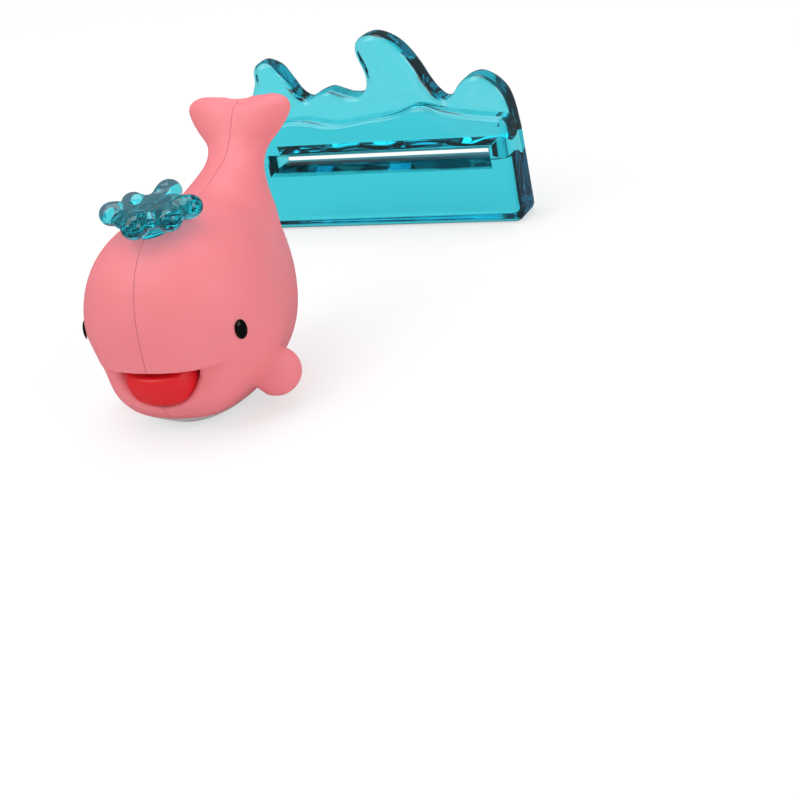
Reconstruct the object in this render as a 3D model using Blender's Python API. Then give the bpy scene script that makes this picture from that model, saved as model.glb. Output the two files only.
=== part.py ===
"""Whale toothpaste cap with its wave tube squeezer.

The whale screws onto the neck of a toothpaste tube and stands on its belly, and the wave slides
along the flattened tube. +Y runs back along the tube, the whale looks along -Y, +Z is up, and the
belly's underside lies on z = 0.
"""
import bpy
import bmesh
from math import cos, pi, radians, sin
from mathutils import Matrix, Vector

MM = 0.001

# Fits and walls shared by all pieces
GAP = 0.3 * MM
WALL = 2.2 * MM
OVERRUN = 40.0 * MM

# The toothpaste tube that the pair is made for
TUBE_R = 19.0 * MM
TUBE_AXIS_Z = TUBE_R
SHOULDER_Y = 21.4 * MM
SHOULDER_DROP = 6.0 * MM
NECK_R = 6.0 * MM
NECK_LENGTH = 8.2 * MM
SHOULDER_CLEARANCE = 0.4 * MM

# Whale: the head is a superellipsoid, the rest is lofted back from its widest section
HEAD_Y = -5.0 * MM
HEAD_Z = 20.0 * MM
HEAD_REACH = 22.9 * MM
HEAD_HALF_WIDTH = 23.2 * MM
HEAD_RISE = 26.5 * MM
HEAD_DROP = 22.0 * MM
HEAD_EXPONENT = 2.45
UPPER_EXPONENT = 2.25
LOWER_EXPONENT = 1.75
BELLY_TOP_Z = 3.6 * MM

# Spine stations behind the head: y as a share of the tail's reach, z of its height, half width of
# the head's, rise above and drop below the spine as shares of the head's rise, and the lean of the
# section in degrees
TAIL_REACH = 37.6 * MM
TAIL_HEIGHT = 60.0 * MM
SPINE_SHARES = (
    (0.133, 0.350, 0.893, 0.981, 0.885, 8),
    (0.346, 0.408, 0.785, 0.868, 0.940, 20),
    (0.545, 0.533, 0.597, 0.604, 0.679, 36),
    (0.665, 0.658, 0.418, 0.377, 0.377, 44),
    (0.758, 0.747, 0.323, 0.204, 0.219, 46),
    (0.840, 0.810, 0.337, 0.166, 0.166, 48),
    (0.894, 0.862, 0.466, 0.155, 0.155, 52),
    (0.942, 0.913, 0.569, 0.143, 0.143, 56),
    (0.968, 0.952, 0.599, 0.117, 0.117, 59),
    (0.989, 0.982, 0.543, 0.075, 0.075, 61),
    (1.000, 1.000, 0.388, 0.000, 0.000, 62),
)
TAIL_ROOT_COUNT = 5
FLUKE_NOTCH = 1.1 * MM
FLUKE_NOTCH_HALF_WIDTH = 7.5 * MM

SURFACE_STEP = 0.1 * MM
MERGE_DISTANCE = 0.02 * MM
HEAD_RINGS = 10
RINGS_PER_STATION = 3
RING_SEGMENTS = 44
CAVITY_SEGMENTS = 24

# Flippers, moulded onto the sides
FIN_X = 20.9 * MM
FIN_Y = -8.2 * MM
FIN_Z = 8.9 * MM
FIN_OUT = Vector((0.78, 0.62, 0.0))
FIN_UP = Vector((-0.05, 0.30, 0.95))
FIN_HALF_LENGTH = 5.9 * MM
FIN_HALF_HEIGHT = 5.7 * MM
FIN_HALF_THICKNESS = 2.6 * MM

# Mouth: the jaw falls back under a level upper lip, with a pocket for the tongue in its middle
LIP_Z = 17.3 * MM
JAW_Y = 7.3 * MM
JAW_Z = 6.0 * MM
JAW_R = 33.5 * MM
JAW_RISE = 40.9 * MM
MOUTH_Y = -26.5 * MM
MOUTH_HALF_WIDTH = 13.4 * MM
MOUTH_DEPTH = 9.0 * MM
MOUTH_HEIGHT = 9.5 * MM

# Outlet in the back wall of the mouth
OUTLET_Z = 10.8 * MM
OUTLET_BORE_R = 2.9 * MM
VALVE_SEAT_Y = -16.8 * MM
OUTLET_BOSS_END_Y = -14.6 * MM
OUTLET_BOSS_R = 6.6 * MM
VALVE_FLANGE_R = 4.7 * MM
VALVE_FLANGE = 1.0 * MM
VALVE_SKIN = 0.7 * MM
VALVE_DOME = 2.5 * MM
SLIT_WIDTH = 0.4 * MM
SLIT_LENGTH = 3.0 * MM

# Tongue: a bead at its root lies in a groove across the back of the mouth
TONGUE_PIVOT_Y = -18.9 * MM
TONGUE_PIVOT_Z = 14.6 * MM
TONGUE_BEAD_R = 1.5 * MM
TONGUE_HALF_WIDTH = 9.0 * MM
TONGUE_ROOT_SHARE = 0.72
TONGUE_SPREAD_SHARE = 0.45
TONGUE_LENGTH = 9.0 * MM
TONGUE_FALL = 6.0 * MM
TONGUE_HALF_THICKNESS = 2.1 * MM

# Eyes
EYE_Y = -17.9 * MM
EYE_Z = 23.8 * MM
EYE_HALF_WIDTH = 1.65 * MM
EYE_HALF_HEIGHT = 2.3 * MM
EYE_PROUD = 0.6 * MM
EYE_PEG_R = 1.0 * MM
EYE_PEG_LENGTH = 3.2 * MM

# Spout on the blowhole
SPLASH_Y = -10.5 * MM
SPLASH_STEM_R = 5.2 * MM
SPLASH_VALLEY_R = 9.3 * MM
SPLASH_LOBE_R = 12.3 * MM
SPLASH_HALF_HEIGHT = 2.9 * MM
SPLASH_HOVER = 2.8 * MM
SPLASH_DISH = 0.5 * MM
SPLASH_PLUG_R = 2.5 * MM
SPLASH_PLUG_LENGTH = 5.5 * MM
SPLASH_BOSS_R = 5.0 * MM
# Lobes: bearing in degrees, reach as a share of the longest lobe, lift as a share of half height
SPLASH_LOBE_SHARES = (
    (12, 0.99, 0.12),
    (86, 0.96, 0.95),
    (142, 0.93, 0.35),
    (192, 0.98, 0.00),
    (268, 0.95, -0.05),
    (322, 0.97, 0.00),
)
LOBE_SPREAD_DEGREES = 17.0
FULL_TURN_DEGREES = 360

# Collar that takes the tube's thread
HUB_R = 8.0 * MM
COLLAR_REAR_Y = 15.6 * MM
COLLAR_WALL = 1.7 * MM
COLLAR_FLANGE_R = 11.5 * MM
COLLAR_FLANGE = 2.0 * MM
DUCT_BORE_R = 2.6 * MM
SPIGOT_WALL = 1.4 * MM
SPIGOT_LENGTH = 5.0 * MM
GASKET = 1.2 * MM

# Locating pegs between the two body halves
# Their places: y as a share of the head's half width, z as a share of its height
PEG_PLACE_SHARES = ((-0.604, 0.710), (0.345, 0.817), (-0.086, 0.215))
PEG_BOSS_R = 2.4 * MM
PEG_R = 1.1 * MM
PEG_LENGTH = 3.6 * MM

# Wave squeezer
WAVE_BACK_Y = 112.5 * MM
WAVE_THICKNESS = 7.6 * MM
WAVE_LIP_DEPTH = 4.6 * MM
WAVE_HALF_WIDTH = 39.5 * MM
WAVE_HEIGHT = 52.8 * MM
WAVE_EDGE = 0.7 * MM
SLOT_HALF_WIDTH = 32.0 * MM
SLOT_HEIGHT = 3.2 * MM
SLOT_FLARE = 1.6 * MM
SLOT_FLARE_DEPTH = 3.0 * MM
# Outline from the left foot over the crests to the right foot, as shares of the half width and
# of the height
WAVE_OUTLINE_SHARES = (
    (-1.000, 0.000), (-1.000, 0.300), (-0.985, 0.560), (-0.950, 0.700), (-0.905, 0.780),
    (-0.892, 0.845), (-0.860, 0.880), (-0.797, 0.890), (-0.705, 0.855), (-0.640, 0.780),
    (-0.580, 0.708), (-0.510, 0.680), (-0.425, 0.708), (-0.342, 0.725), (-0.263, 0.706),
    (-0.190, 0.688), (-0.100, 0.690), (-0.046, 0.730), (-0.040, 0.800), (-0.070, 0.875),
    (-0.078, 0.930), (-0.052, 0.972), (0.008, 0.995), (0.084, 1.000), (0.190, 0.967),
    (0.273, 0.909), (0.349, 0.820), (0.400, 0.739), (0.453, 0.676), (0.514, 0.640),
    (0.577, 0.659), (0.635, 0.708), (0.709, 0.748), (0.795, 0.758), (0.884, 0.725),
    (0.952, 0.665), (0.985, 0.583), (1.000, 0.450), (1.000, 0.000),
)
# Upper edge of the low wave in front, in the same shares
LIP_OUTLINE_SHARES = (
    (-1.000, 0.590), (-0.780, 0.588), (-0.540, 0.600), (-0.300, 0.570), (-0.020, 0.592),
    (0.190, 0.610), (0.360, 0.642), (0.540, 0.608), (0.760, 0.580), (1.000, 0.560),
)


def clear_scene():
    for item in list(bpy.data.objects):
        bpy.data.objects.remove(item, do_unlink=True)


def finish(name, hex_colour, roughness, metallic=0.0, transmission=0.0):
    """A plain plastic or silicone in one colour."""
    material = bpy.data.materials.new(name)
    material.use_nodes = True
    shader = material.node_tree.nodes["Principled BSDF"]
    channels = [int(hex_colour[i:i + 2], 16) / 255 for i in (0, 2, 4)]
    linear = [c / 12.92 if c <= 0.04045 else ((c + 0.055) / 1.055) ** 2.4 for c in channels]
    shader.inputs["Base Color"].default_value = (*linear, 1.0)
    shader.inputs["Roughness"].default_value = roughness
    shader.inputs["Metallic"].default_value = metallic
    shader.inputs["Transmission Weight"].default_value = transmission
    return material


def new_object(name, bm, material=None):
    """Turn a bmesh into an object whose faces point outwards."""
    bmesh.ops.recalc_face_normals(bm, faces=bm.faces)
    if bm.calc_volume(signed=True) < 0:
        bmesh.ops.reverse_faces(bm, faces=bm.faces)
    mesh = bpy.data.meshes.new(name)
    bm.to_mesh(mesh)
    bm.free()
    thing = bpy.data.objects.new(name, mesh)
    bpy.context.scene.collection.objects.link(thing)
    if material:
        mesh.materials.append(material)
    return thing


def combine(target, tool, operation, solver="EXACT"):
    """Boolean the tool into the target, apply it and drop the tool."""
    modifier = target.modifiers.new(operation.lower(), "BOOLEAN")
    modifier.operation = operation
    modifier.object = tool
    modifier.solver = solver
    depsgraph = bpy.context.evaluated_depsgraph_get()
    mesh = bpy.data.meshes.new_from_object(target.evaluated_get(depsgraph))
    target.modifiers.clear()
    old = target.data
    target.data = mesh
    bpy.data.meshes.remove(old)
    bpy.data.objects.remove(tool, do_unlink=True)
    return target


def cut(target, *tools, solver="EXACT"):
    for tool in tools:
        combine(target, tool, "DIFFERENCE", solver)
    return target


def join(target, *tools, solver="EXACT"):
    for tool in tools:
        combine(target, tool, "UNION", solver)
    return target


def keep(target, tool, solver="EXACT"):
    return combine(target, tool, "INTERSECT", solver)


def block(x_range, y_range, z_range):
    """A box between two values on each axis."""
    bm = bmesh.new()
    bmesh.ops.create_cube(bm, size=1.0)
    for vert in bm.verts:
        for axis, (low, high) in enumerate((x_range, y_range, z_range)):
            vert.co[axis] = high if vert.co[axis] > 0 else low
    return new_object("block", bm)


def rod(radius, start, end, segments=24):
    """A round bar between two points."""
    start, end = Vector(start), Vector(end)
    bm = bmesh.new()
    bmesh.ops.create_cone(bm, cap_ends=True, segments=segments, radius1=radius, radius2=radius,
                          depth=(end - start).length)
    turn = Vector((0, 0, 1)).rotation_difference(end - start).to_matrix().to_4x4()
    bm.transform(Matrix.Translation((start + end) / 2) @ turn)
    return new_object("rod", bm)


def stitch(bm, rings, closed=False):
    """Join rings of equal length with quads; a ring of one point is a pole."""
    pairs = list(zip(rings, rings[1:]))
    if closed:
        pairs.append((rings[-1], rings[0]))
    for near, far in pairs:
        count = max(len(near), len(far))
        for i in range(count):
            k = (i + 1) % count
            if len(near) == 1:
                bm.faces.new((near[0], far[k], far[i]))
            elif len(far) == 1:
                bm.faces.new((near[i], near[k], far[0]))
            else:
                bm.faces.new((near[i], near[k], far[k], far[i]))


def turned(name, profile, centre_z, segments, material=None):
    """Revolve a closed profile of (radius, y) about an axis along Y; radius 0 makes a pole."""
    bm = bmesh.new()
    rings = []
    for radius, y in profile:
        if radius == 0:
            rings.append([bm.verts.new((0, y, centre_z))])
            continue
        angles = [2 * pi * i / segments for i in range(segments)]
        rings.append([bm.verts.new((radius * cos(a), y, centre_z + radius * sin(a)))
                      for a in angles])
    on_axis = profile[0][0] == 0
    stitch(bm, rings, closed=not on_axis)
    return new_object(name, bm, material)


def blend(points, position):
    """Catmull-Rom through rows of numbers at a position counted in rows."""
    last = len(points) - 1
    i = min(int(position), last - 1)
    t = position - i
    before, a, b, after = (points[max(i - 1, 0)], points[i], points[i + 1],
                           points[min(i + 2, last)])
    return [
        q + 0.5 * t * ((r - p) + t * ((2 * p - 5 * q + 4 * r - s) + t * (3 * (q - r) + s - p)))
        for p, q, r, s in zip(before, a, b, after)
    ]


def smooth_line(points, steps):
    """Points along a Catmull-Rom curve, with the given steps between two of them."""
    spans = (len(points) - 1) * steps
    return [blend(points, i / steps) for i in range(spans + 1)]


def head_share(y):
    """Size of the head's section at y, as a share of its widest one."""
    u = min(max((HEAD_Y - y) / HEAD_REACH, 0.0), 1.0)
    return (1.0 - u ** HEAD_EXPONENT) ** (1.0 / HEAD_EXPONENT)


def head_half_width(y, z):
    """Half width of the head at a height above its middle."""
    share = head_share(y)
    v = (z - HEAD_Z) / (HEAD_RISE * share)
    return HEAD_HALF_WIDTH * share * (1.0 - abs(v) ** UPPER_EXPONENT) ** (1.0 / UPPER_EXPONENT)


def head_top(y):
    return HEAD_Z + HEAD_RISE * head_share(y)


def body_sections(grow):
    """Rows of y, z, half width, rise, drop, lean and the distance run along the fluke."""
    rows = []
    for i in range(1, HEAD_RINGS):
        angle = 0.5 * pi * i / HEAD_RINGS
        y = HEAD_Y - (HEAD_REACH + grow) * cos(angle)
        share = (1.0 - cos(angle) ** HEAD_EXPONENT) ** (1.0 / HEAD_EXPONENT)
        rows.append((y, HEAD_Z, (HEAD_HALF_WIDTH + grow) * share, (HEAD_RISE + grow) * share,
                     (HEAD_DROP + grow) * share, 0.0, 0.0))
    widest = (HEAD_Y, HEAD_Z, HEAD_HALF_WIDTH, HEAD_RISE, HEAD_DROP, 0.0)
    scale = (TAIL_REACH, TAIL_HEIGHT, HEAD_HALF_WIDTH, HEAD_RISE, HEAD_RISE, radians(1))
    stations = [widest] + [tuple(a * b for a, b in zip(row, scale)) for row in SPINE_SHARES]
    last = len(stations) - 1
    for i in range(last * RINGS_PER_STATION + 1):
        at = i / RINGS_PER_STATION
        y, z, width, rise, drop, lean = blend(stations, at)
        tail = max(0.0, (at - TAIL_ROOT_COUNT) / (last - TAIL_ROOT_COUNT))
        if i == last * RINGS_PER_STATION:
            rows.append((y, z, width + grow, 0.0, 0.0, lean, tail))
            continue
        rows.append((y, z, width + grow, max(rise, 0.0) + grow, max(drop, 0.0) + grow, lean, tail))
    return rows


def section_ring(bm, row, count):
    """One closed section: a superellipse, rounder below than above."""
    y, z, width, rise, drop, lean, tail = row
    ring = []
    for i in range(count):
        angle = 2 * pi * i / count
        c, s = cos(angle), sin(angle)
        power = 2.0 / (UPPER_EXPONENT if s > 0 or drop == 0 else LOWER_EXPONENT)
        x = width * abs(c) ** power * (1 if c > 0 else -1)
        v = (rise if s > 0 else drop) * abs(s) ** power * (1 if s > 0 else -1)
        dip = 0.0
        if abs(x) < FLUKE_NOTCH_HALF_WIDTH:
            dip = FLUKE_NOTCH * tail ** 2 * cos(0.5 * pi * x / FLUKE_NOTCH_HALF_WIDTH) ** 2
        ring.append(bm.verts.new((x, y - v * sin(lean) - dip * cos(lean),
                                  z + v * cos(lean) - dip * sin(lean))))
    return ring


def whale_form(grow=0.0):
    """The whole outer form of the whale, from the nose to the ridge of the fluke."""
    bm = bmesh.new()
    nose = [bm.verts.new((0, HEAD_Y - HEAD_REACH - grow, HEAD_Z))]
    rings = [nose] + [section_ring(bm, row, RING_SEGMENTS) for row in body_sections(grow)]
    stitch(bm, rings)
    bmesh.ops.remove_doubles(bm, verts=rings[-1], dist=MERGE_DISTANCE)
    return new_object("whale_form", bm)


def cavity_form(inset):
    """The hollow inside: the same form drawn in, from the forehead to the root of the tail."""
    bm = bmesh.new()
    rows = body_sections(-inset)
    tail_root = HEAD_RINGS - 1 + (TAIL_ROOT_COUNT - 1) * RINGS_PER_STATION
    rows = rows[1:tail_root:2]
    rings = [section_ring(bm, row, CAVITY_SEGMENTS) for row in rows]
    stitch(bm, rings)
    bm.faces.new(rings[0])
    bm.faces.new(rings[-1])
    return new_object("cavity_form", bm)


def shoulder_form(grow=0.0):
    """The tube's shoulder and wall, which the whale's rear seats on."""
    front = SHOULDER_Y - SHOULDER_DROP - SHOULDER_CLEARANCE - grow
    ridge = SHOULDER_Y - SHOULDER_CLEARANCE - grow
    radius = TUBE_R + SHOULDER_CLEARANCE + grow
    profile = ((0, front), (NECK_R, front), (radius, ridge), (radius, ridge + OVERRUN),
               (0, ridge + OVERRUN))
    return turned("shoulder_form", profile, TUBE_AXIS_Z, 40)


def mouth_form(grow=0.0):
    """Lower half of an ellipsoid under the upper lip."""
    bm = bmesh.new()
    bmesh.ops.create_uvsphere(bm, u_segments=32, v_segments=16, radius=1.0)
    size = Matrix.Diagonal((MOUTH_HALF_WIDTH + grow, MOUTH_DEPTH + grow, MOUTH_HEIGHT + grow, 1))
    bm.transform(Matrix.Translation((0, MOUTH_Y, LIP_Z + grow)) @ size)
    top = LIP_Z + grow
    bmesh.ops.bisect_plane(bm, geom=bm.verts[:] + bm.edges[:] + bm.faces[:],
                           plane_co=(0, 0, top), plane_no=(0, 0, 1), clear_outer=True)
    bmesh.ops.holes_fill(bm, edges=[edge for edge in bm.edges if edge.is_boundary])
    return new_object("mouth_form", bm)


def under_lip(grow=0.0):
    """What lies between the upper lip's level and the jaw, in front of the head's middle."""
    gap = block((-OVERRUN, OVERRUN), (-OVERRUN, HEAD_Y - MOUTH_DEPTH), (JAW_Z, LIP_Z + grow))
    bm = bmesh.new()
    bmesh.ops.create_uvsphere(bm, u_segments=96, v_segments=40, radius=1.0)
    bm.transform(Matrix.Translation((0, JAW_Y, JAW_Z))
                 @ Matrix.Diagonal((JAW_R - grow, JAW_R - grow, JAW_RISE - grow, 1)))
    return cut(gap, new_object("jaw", bm), solver="MANIFOLD")


def fin(side):
    """A rounded flipper, swept back."""
    bm = bmesh.new()
    bmesh.ops.create_uvsphere(bm, u_segments=20, v_segments=12, radius=1.0)
    out = FIN_OUT.normalized()
    up = (FIN_UP - out * FIN_UP.dot(out)).normalized()
    thick = out.cross(up)
    axes = Matrix((out * FIN_HALF_LENGTH, thick * FIN_HALF_THICKNESS,
                   up * FIN_HALF_HEIGHT)).transposed().to_4x4()
    bm.transform(Matrix.Translation((FIN_X, FIN_Y, FIN_Z)) @ axes)
    if side < 0:
        bm.transform(Matrix.Diagonal((-1, 1, 1, 1)))
    return new_object("fin", bm)


def eye_frame():
    """Centre of the right eye on the head, and the way it looks."""
    x = head_half_width(EYE_Y, EYE_Z)
    slope_y = (head_half_width(EYE_Y + SURFACE_STEP, EYE_Z) - x) / SURFACE_STEP
    slope_z = (head_half_width(EYE_Y, EYE_Z + SURFACE_STEP) - x) / SURFACE_STEP
    return Vector((x, EYE_Y, EYE_Z)), Vector((1.0, -slope_y, -slope_z)).normalized()


def mirrored(vector, side):
    return Vector((vector.x * side, vector.y, vector.z))


def peg_places():
    """The y and z of each locating peg."""
    return [(y * HEAD_HALF_WIDTH, z * (HEAD_Z + HEAD_RISE)) for y, z in PEG_PLACE_SHARES]


def outlet_boss(grow=0.0):
    """The round block behind the mouth that holds the outlet."""
    return rod(OUTLET_BOSS_R + grow, (0, MOUTH_Y, OUTLET_Z),
               (0, OUTLET_BOSS_END_Y + grow, OUTLET_Z))


def body_cavity():
    """Everything hollow inside the two halves, with the bosses left standing."""
    hollow = cavity_form(WALL)
    blowhole_z = head_top(SPLASH_Y)
    blowhole_boss = rod(SPLASH_BOSS_R, (0, SPLASH_Y, blowhole_z - SPLASH_PLUG_LENGTH - WALL),
                        (0, SPLASH_Y, blowhole_z + WALL))
    cut(hollow, shoulder_form(WALL), under_lip(WALL), mouth_form(WALL), outlet_boss(),
        blowhole_boss,
        solver="MANIFOLD")
    for place in peg_places():
        cut(hollow, rod(PEG_BOSS_R, (-OVERRUN, *place), (OVERRUN, *place), 16),
            solver="MANIFOLD")
    return hollow


def body_half(side, material):
    """One moulded half of the whale, left (-1) or right (1) of the seam."""
    near, far = sorted((side * GAP / 2, side * OVERRUN))
    half = keep(whale_form(), block((near, far), (-OVERRUN, 2 * OVERRUN), (-OVERRUN, 2 * OVERRUN)),
                solver="MANIFOLD")
    cut(half, body_cavity(), shoulder_form(), under_lip(), mouth_form(), solver="MANIFOLD")
    cut(half, block((-OVERRUN, OVERRUN), (-OVERRUN, OVERRUN), (-OVERRUN, BELLY_TOP_Z + GAP)),
        solver="MANIFOLD")
    join(half, cut(fin(side), cavity_form(WALL), solver="MANIFOLD"), solver="MANIFOLD")
    cut(half, belly_blank(GAP), solver="MANIFOLD")
    hub_hole = rod(HUB_R + GAP, (0, 0, TUBE_AXIS_Z), (0, SHOULDER_Y, TUBE_AXIS_Z), 32)
    counterbore = rod(VALVE_FLANGE_R + GAP, (0, VALVE_SEAT_Y, OUTLET_Z),
                      (0, HEAD_Y, OUTLET_Z), 24)
    outlet = rod(OUTLET_BORE_R, (0, MOUTH_Y, OUTLET_Z), (0, HEAD_Y, OUTLET_Z), 20)
    groove_end = TONGUE_HALF_WIDTH * TONGUE_ROOT_SHARE + GAP
    groove = rod(TONGUE_BEAD_R + GAP, (-groove_end, TONGUE_PIVOT_Y, TONGUE_PIVOT_Z),
                 (groove_end, TONGUE_PIVOT_Y, TONGUE_PIVOT_Z), 16)
    blowhole_z = head_top(SPLASH_Y)
    blowhole = rod(SPLASH_PLUG_R + GAP, (0, SPLASH_Y, blowhole_z - SPLASH_PLUG_LENGTH - GAP),
                   (0, SPLASH_Y, blowhole_z + WALL), 20)
    centre, look = eye_frame()
    centre, look = mirrored(centre, side), mirrored(look, side)
    eye_hole = rod(EYE_PEG_R + GAP, centre - look * (EYE_PEG_LENGTH + WALL),
                   centre + look * WALL, 12)
    cut(half, hub_hole, counterbore, outlet, groove, blowhole, eye_hole, solver="MANIFOLD")
    for place in peg_places():
        if side > 0:
            join(half, rod(PEG_R, (-PEG_LENGTH, *place), (WALL, *place), 12), solver="MANIFOLD")
        else:
            cut(half, rod(PEG_R + GAP, (-PEG_LENGTH - GAP, *place), (WALL, *place), 12),
                solver="MANIFOLD")
    half.name = "body_right" if side > 0 else "body_left"
    half.data.name = half.name
    half.data.materials.clear()
    half.data.materials.append(material)
    return half


def belly_blank(grow=0.0):
    """The slice of the whale below the seam with the belly."""
    blank = whale_form(grow)
    cut(blank, block((-OVERRUN, OVERRUN), (-OVERRUN, 2 * OVERRUN),
                     (BELLY_TOP_Z + grow / 2, 2 * OVERRUN)))
    return cut(blank, block((-OVERRUN, OVERRUN), (-OVERRUN, 2 * OVERRUN),
                            (-OVERRUN, 0 if grow == 0 else -grow)))


def belly_base(material):
    """White pan that closes the whale below, with a rim that plugs into the halves."""
    pan = belly_blank()
    rim_top = BELLY_TOP_Z + WALL
    rim = keep(cavity_form(WALL + GAP),
               block((-OVERRUN, OVERRUN), (-MOUTH_HEIGHT, OVERRUN), (WALL, rim_top)))
    cut(rim, shoulder_form(WALL + GAP), mouth_form(WALL + GAP), outlet_boss(GAP))
    join(pan, rim)
    floor = cavity_form(WALL + GAP + WALL / 2)
    cut(floor, shoulder_form(WALL))
    keep(floor, block((-OVERRUN, OVERRUN), (-OVERRUN, OVERRUN), (WALL, OVERRUN)))
    cut(pan, floor, shoulder_form(), solver="MANIFOLD")
    for place in peg_places():
        cut(pan, rod(PEG_BOSS_R + GAP, (-OVERRUN, *place), (OVERRUN, *place), 16),
            solver="MANIFOLD")
    pan.name = "belly_base"
    pan.data.name = pan.name
    pan.data.materials.clear()
    pan.data.materials.append(material)
    return pan


def eye(side, material):
    """A domed oval on a peg."""
    centre, look = eye_frame()
    centre, look = mirrored(centre, side), mirrored(look, side)
    bm = bmesh.new()
    bmesh.ops.create_uvsphere(bm, u_segments=20, v_segments=12, radius=1.0)
    turn = Vector((0, 0, 1)).rotation_difference(look).to_matrix().to_4x4()
    up = turn.inverted() @ Vector((0, 0, 1))
    spin = Matrix.Rotation(Vector((0, 1)).angle_signed(Vector((up.x, up.y))) * -1, 4, "Z")
    size = Matrix.Diagonal((EYE_HALF_WIDTH, EYE_HALF_HEIGHT, EYE_PROUD, 1))
    bm.transform(turn @ spin @ size)
    bmesh.ops.bisect_plane(bm, geom=bm.verts[:] + bm.edges[:] + bm.faces[:],
                           plane_co=(0, 0, 0), plane_no=-look, clear_outer=True)
    bmesh.ops.holes_fill(bm, edges=[edge for edge in bm.edges if edge.is_boundary])
    bm.transform(Matrix.Translation(centre + look * GAP))
    name = "eye_right" if side > 0 else "eye_left"
    dome = new_object(name, bm, material)
    return join(dome, rod(EYE_PEG_R, centre - look * EYE_PEG_LENGTH,
                          centre + look * (GAP + EYE_PROUD / 2), 12))


def tongue(material):
    """A soft flap that rolls forward from its bead and hangs over the lower lip."""
    count, steps = 20, 12
    bm = bmesh.new()
    rings = []
    for i in range(steps):
        t = i / steps
        bend = radians(75) * t ** 1.6
        y = TONGUE_PIVOT_Y - TONGUE_LENGTH * (t - 0.12 * t ** 4)
        z = TONGUE_PIVOT_Z + TONGUE_BEAD_R * 0.3 * t - TONGUE_FALL * t ** 2.6
        spread = min(1.0, t / TONGUE_SPREAD_SHARE)
        width = TONGUE_HALF_WIDTH * (1 - t ** 4.2) ** 0.5
        width *= TONGUE_ROOT_SHARE + (1 - TONGUE_ROOT_SHARE) * spread
        thick = TONGUE_BEAD_R * 0.8 + (TONGUE_HALF_THICKNESS - TONGUE_BEAD_R * 0.8) * min(1, 3 * t)
        thick *= (1 - t ** 6) ** 0.5
        ring = []
        for k in range(count):
            a = 2 * pi * k / count
            x = width * abs(cos(a)) ** 0.8 * (1 if cos(a) > 0 else -1)
            v = thick * abs(sin(a)) ** 0.9 * (1 if sin(a) > 0 else -1)
            ring.append(bm.verts.new((x, y - v * sin(bend), z + v * cos(bend))))
        rings.append(ring)
    tip = [bm.verts.new((0, TONGUE_PIVOT_Y - TONGUE_LENGTH * 0.88,
                         TONGUE_PIVOT_Z + TONGUE_BEAD_R * 0.3 - TONGUE_FALL))]
    stitch(bm, rings + [tip])
    bm.faces.new(rings[0])
    bm.transform(Matrix.Translation((0, -TONGUE_PIVOT_Y, -TONGUE_PIVOT_Z)))
    flap = new_object("tongue", bm, material)
    bead_end = TONGUE_HALF_WIDTH * TONGUE_ROOT_SHARE
    join(flap, rod(TONGUE_BEAD_R, (-bead_end, 0, 0), (bead_end, 0, 0), 16))
    flap.location = (0, TONGUE_PIVOT_Y, TONGUE_PIVOT_Z)
    return flap


def lobe_at(bearing):
    """Reach and lift of the spout's rim at a bearing in degrees."""
    reach, lift = SPLASH_VALLEY_R, 0.0
    for centre, reach_share, lift_share in SPLASH_LOBE_SHARES:
        away = abs(bearing - centre)
        away = min(away, FULL_TURN_DEGREES - away)
        weight = 2.718 ** (-(away / LOBE_SPREAD_DEGREES) ** 2)
        reach += (SPLASH_LOBE_R * reach_share - SPLASH_VALLEY_R) * weight
        lift += SPLASH_HALF_HEIGHT * lift_share * weight
    return reach, lift


# Half outline of the spout from its stem to the middle of its top: radius as a share of the way
# from the stem to the rim (below) or from the middle to the rim (above), height as a share
SPLASH_UNDER_SHARES = ((0.00, -0.75), (0.25, -0.70), (0.55, -0.85), (0.80, -0.70), (0.95, -0.35))
SPLASH_OVER_SHARES = ((1.00, 0.10), (0.96, 0.50), (0.86, 0.85), (0.70, 1.00), (0.52, 0.85),
                      (0.30, 0.70))


def splash(material):
    """Clear spout of water: six round lobes about a dished middle, on a stem with a plug."""
    count = 66
    middle_z = head_top(SPLASH_Y) + SPLASH_HOVER
    stem_z = head_top(SPLASH_Y) - WALL
    bm = bmesh.new()
    profile_rows = 1 + len(SPLASH_UNDER_SHARES) + len(SPLASH_OVER_SHARES)
    rings = [[] for _ in range(profile_rows)]
    for i in range(count):
        bearing = FULL_TURN_DEGREES * i / count
        a = radians(bearing)
        reach, lift = lobe_at(bearing)
        points = [(SPLASH_STEM_R, stem_z)]
        for out, high in SPLASH_UNDER_SHARES:
            points.append((SPLASH_STEM_R + (reach - SPLASH_STEM_R) * out,
                           middle_z + SPLASH_HALF_HEIGHT * high + lift * out))
        for out, high in SPLASH_OVER_SHARES:
            points.append((reach * out,
                           middle_z + SPLASH_HALF_HEIGHT * high + lift * out ** 2))
        for ring, (radius, z) in zip(rings, points):
            ring.append(bm.verts.new((radius * cos(a), SPLASH_Y + radius * sin(a), z)))
    low = [bm.verts.new((0, SPLASH_Y, stem_z))]
    high = [bm.verts.new((0, SPLASH_Y, middle_z + SPLASH_HALF_HEIGHT * 0.7 - SPLASH_DISH))]
    stitch(bm, [low] + rings + [high])
    spout = new_object("splash", bm, material)
    cut(spout, whale_form(GAP))
    plug_bottom = head_top(SPLASH_Y) - SPLASH_PLUG_LENGTH
    return join(spout, rod(SPLASH_PLUG_R, (0, SPLASH_Y, plug_bottom), (0, SPLASH_Y, middle_z), 20))


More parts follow.
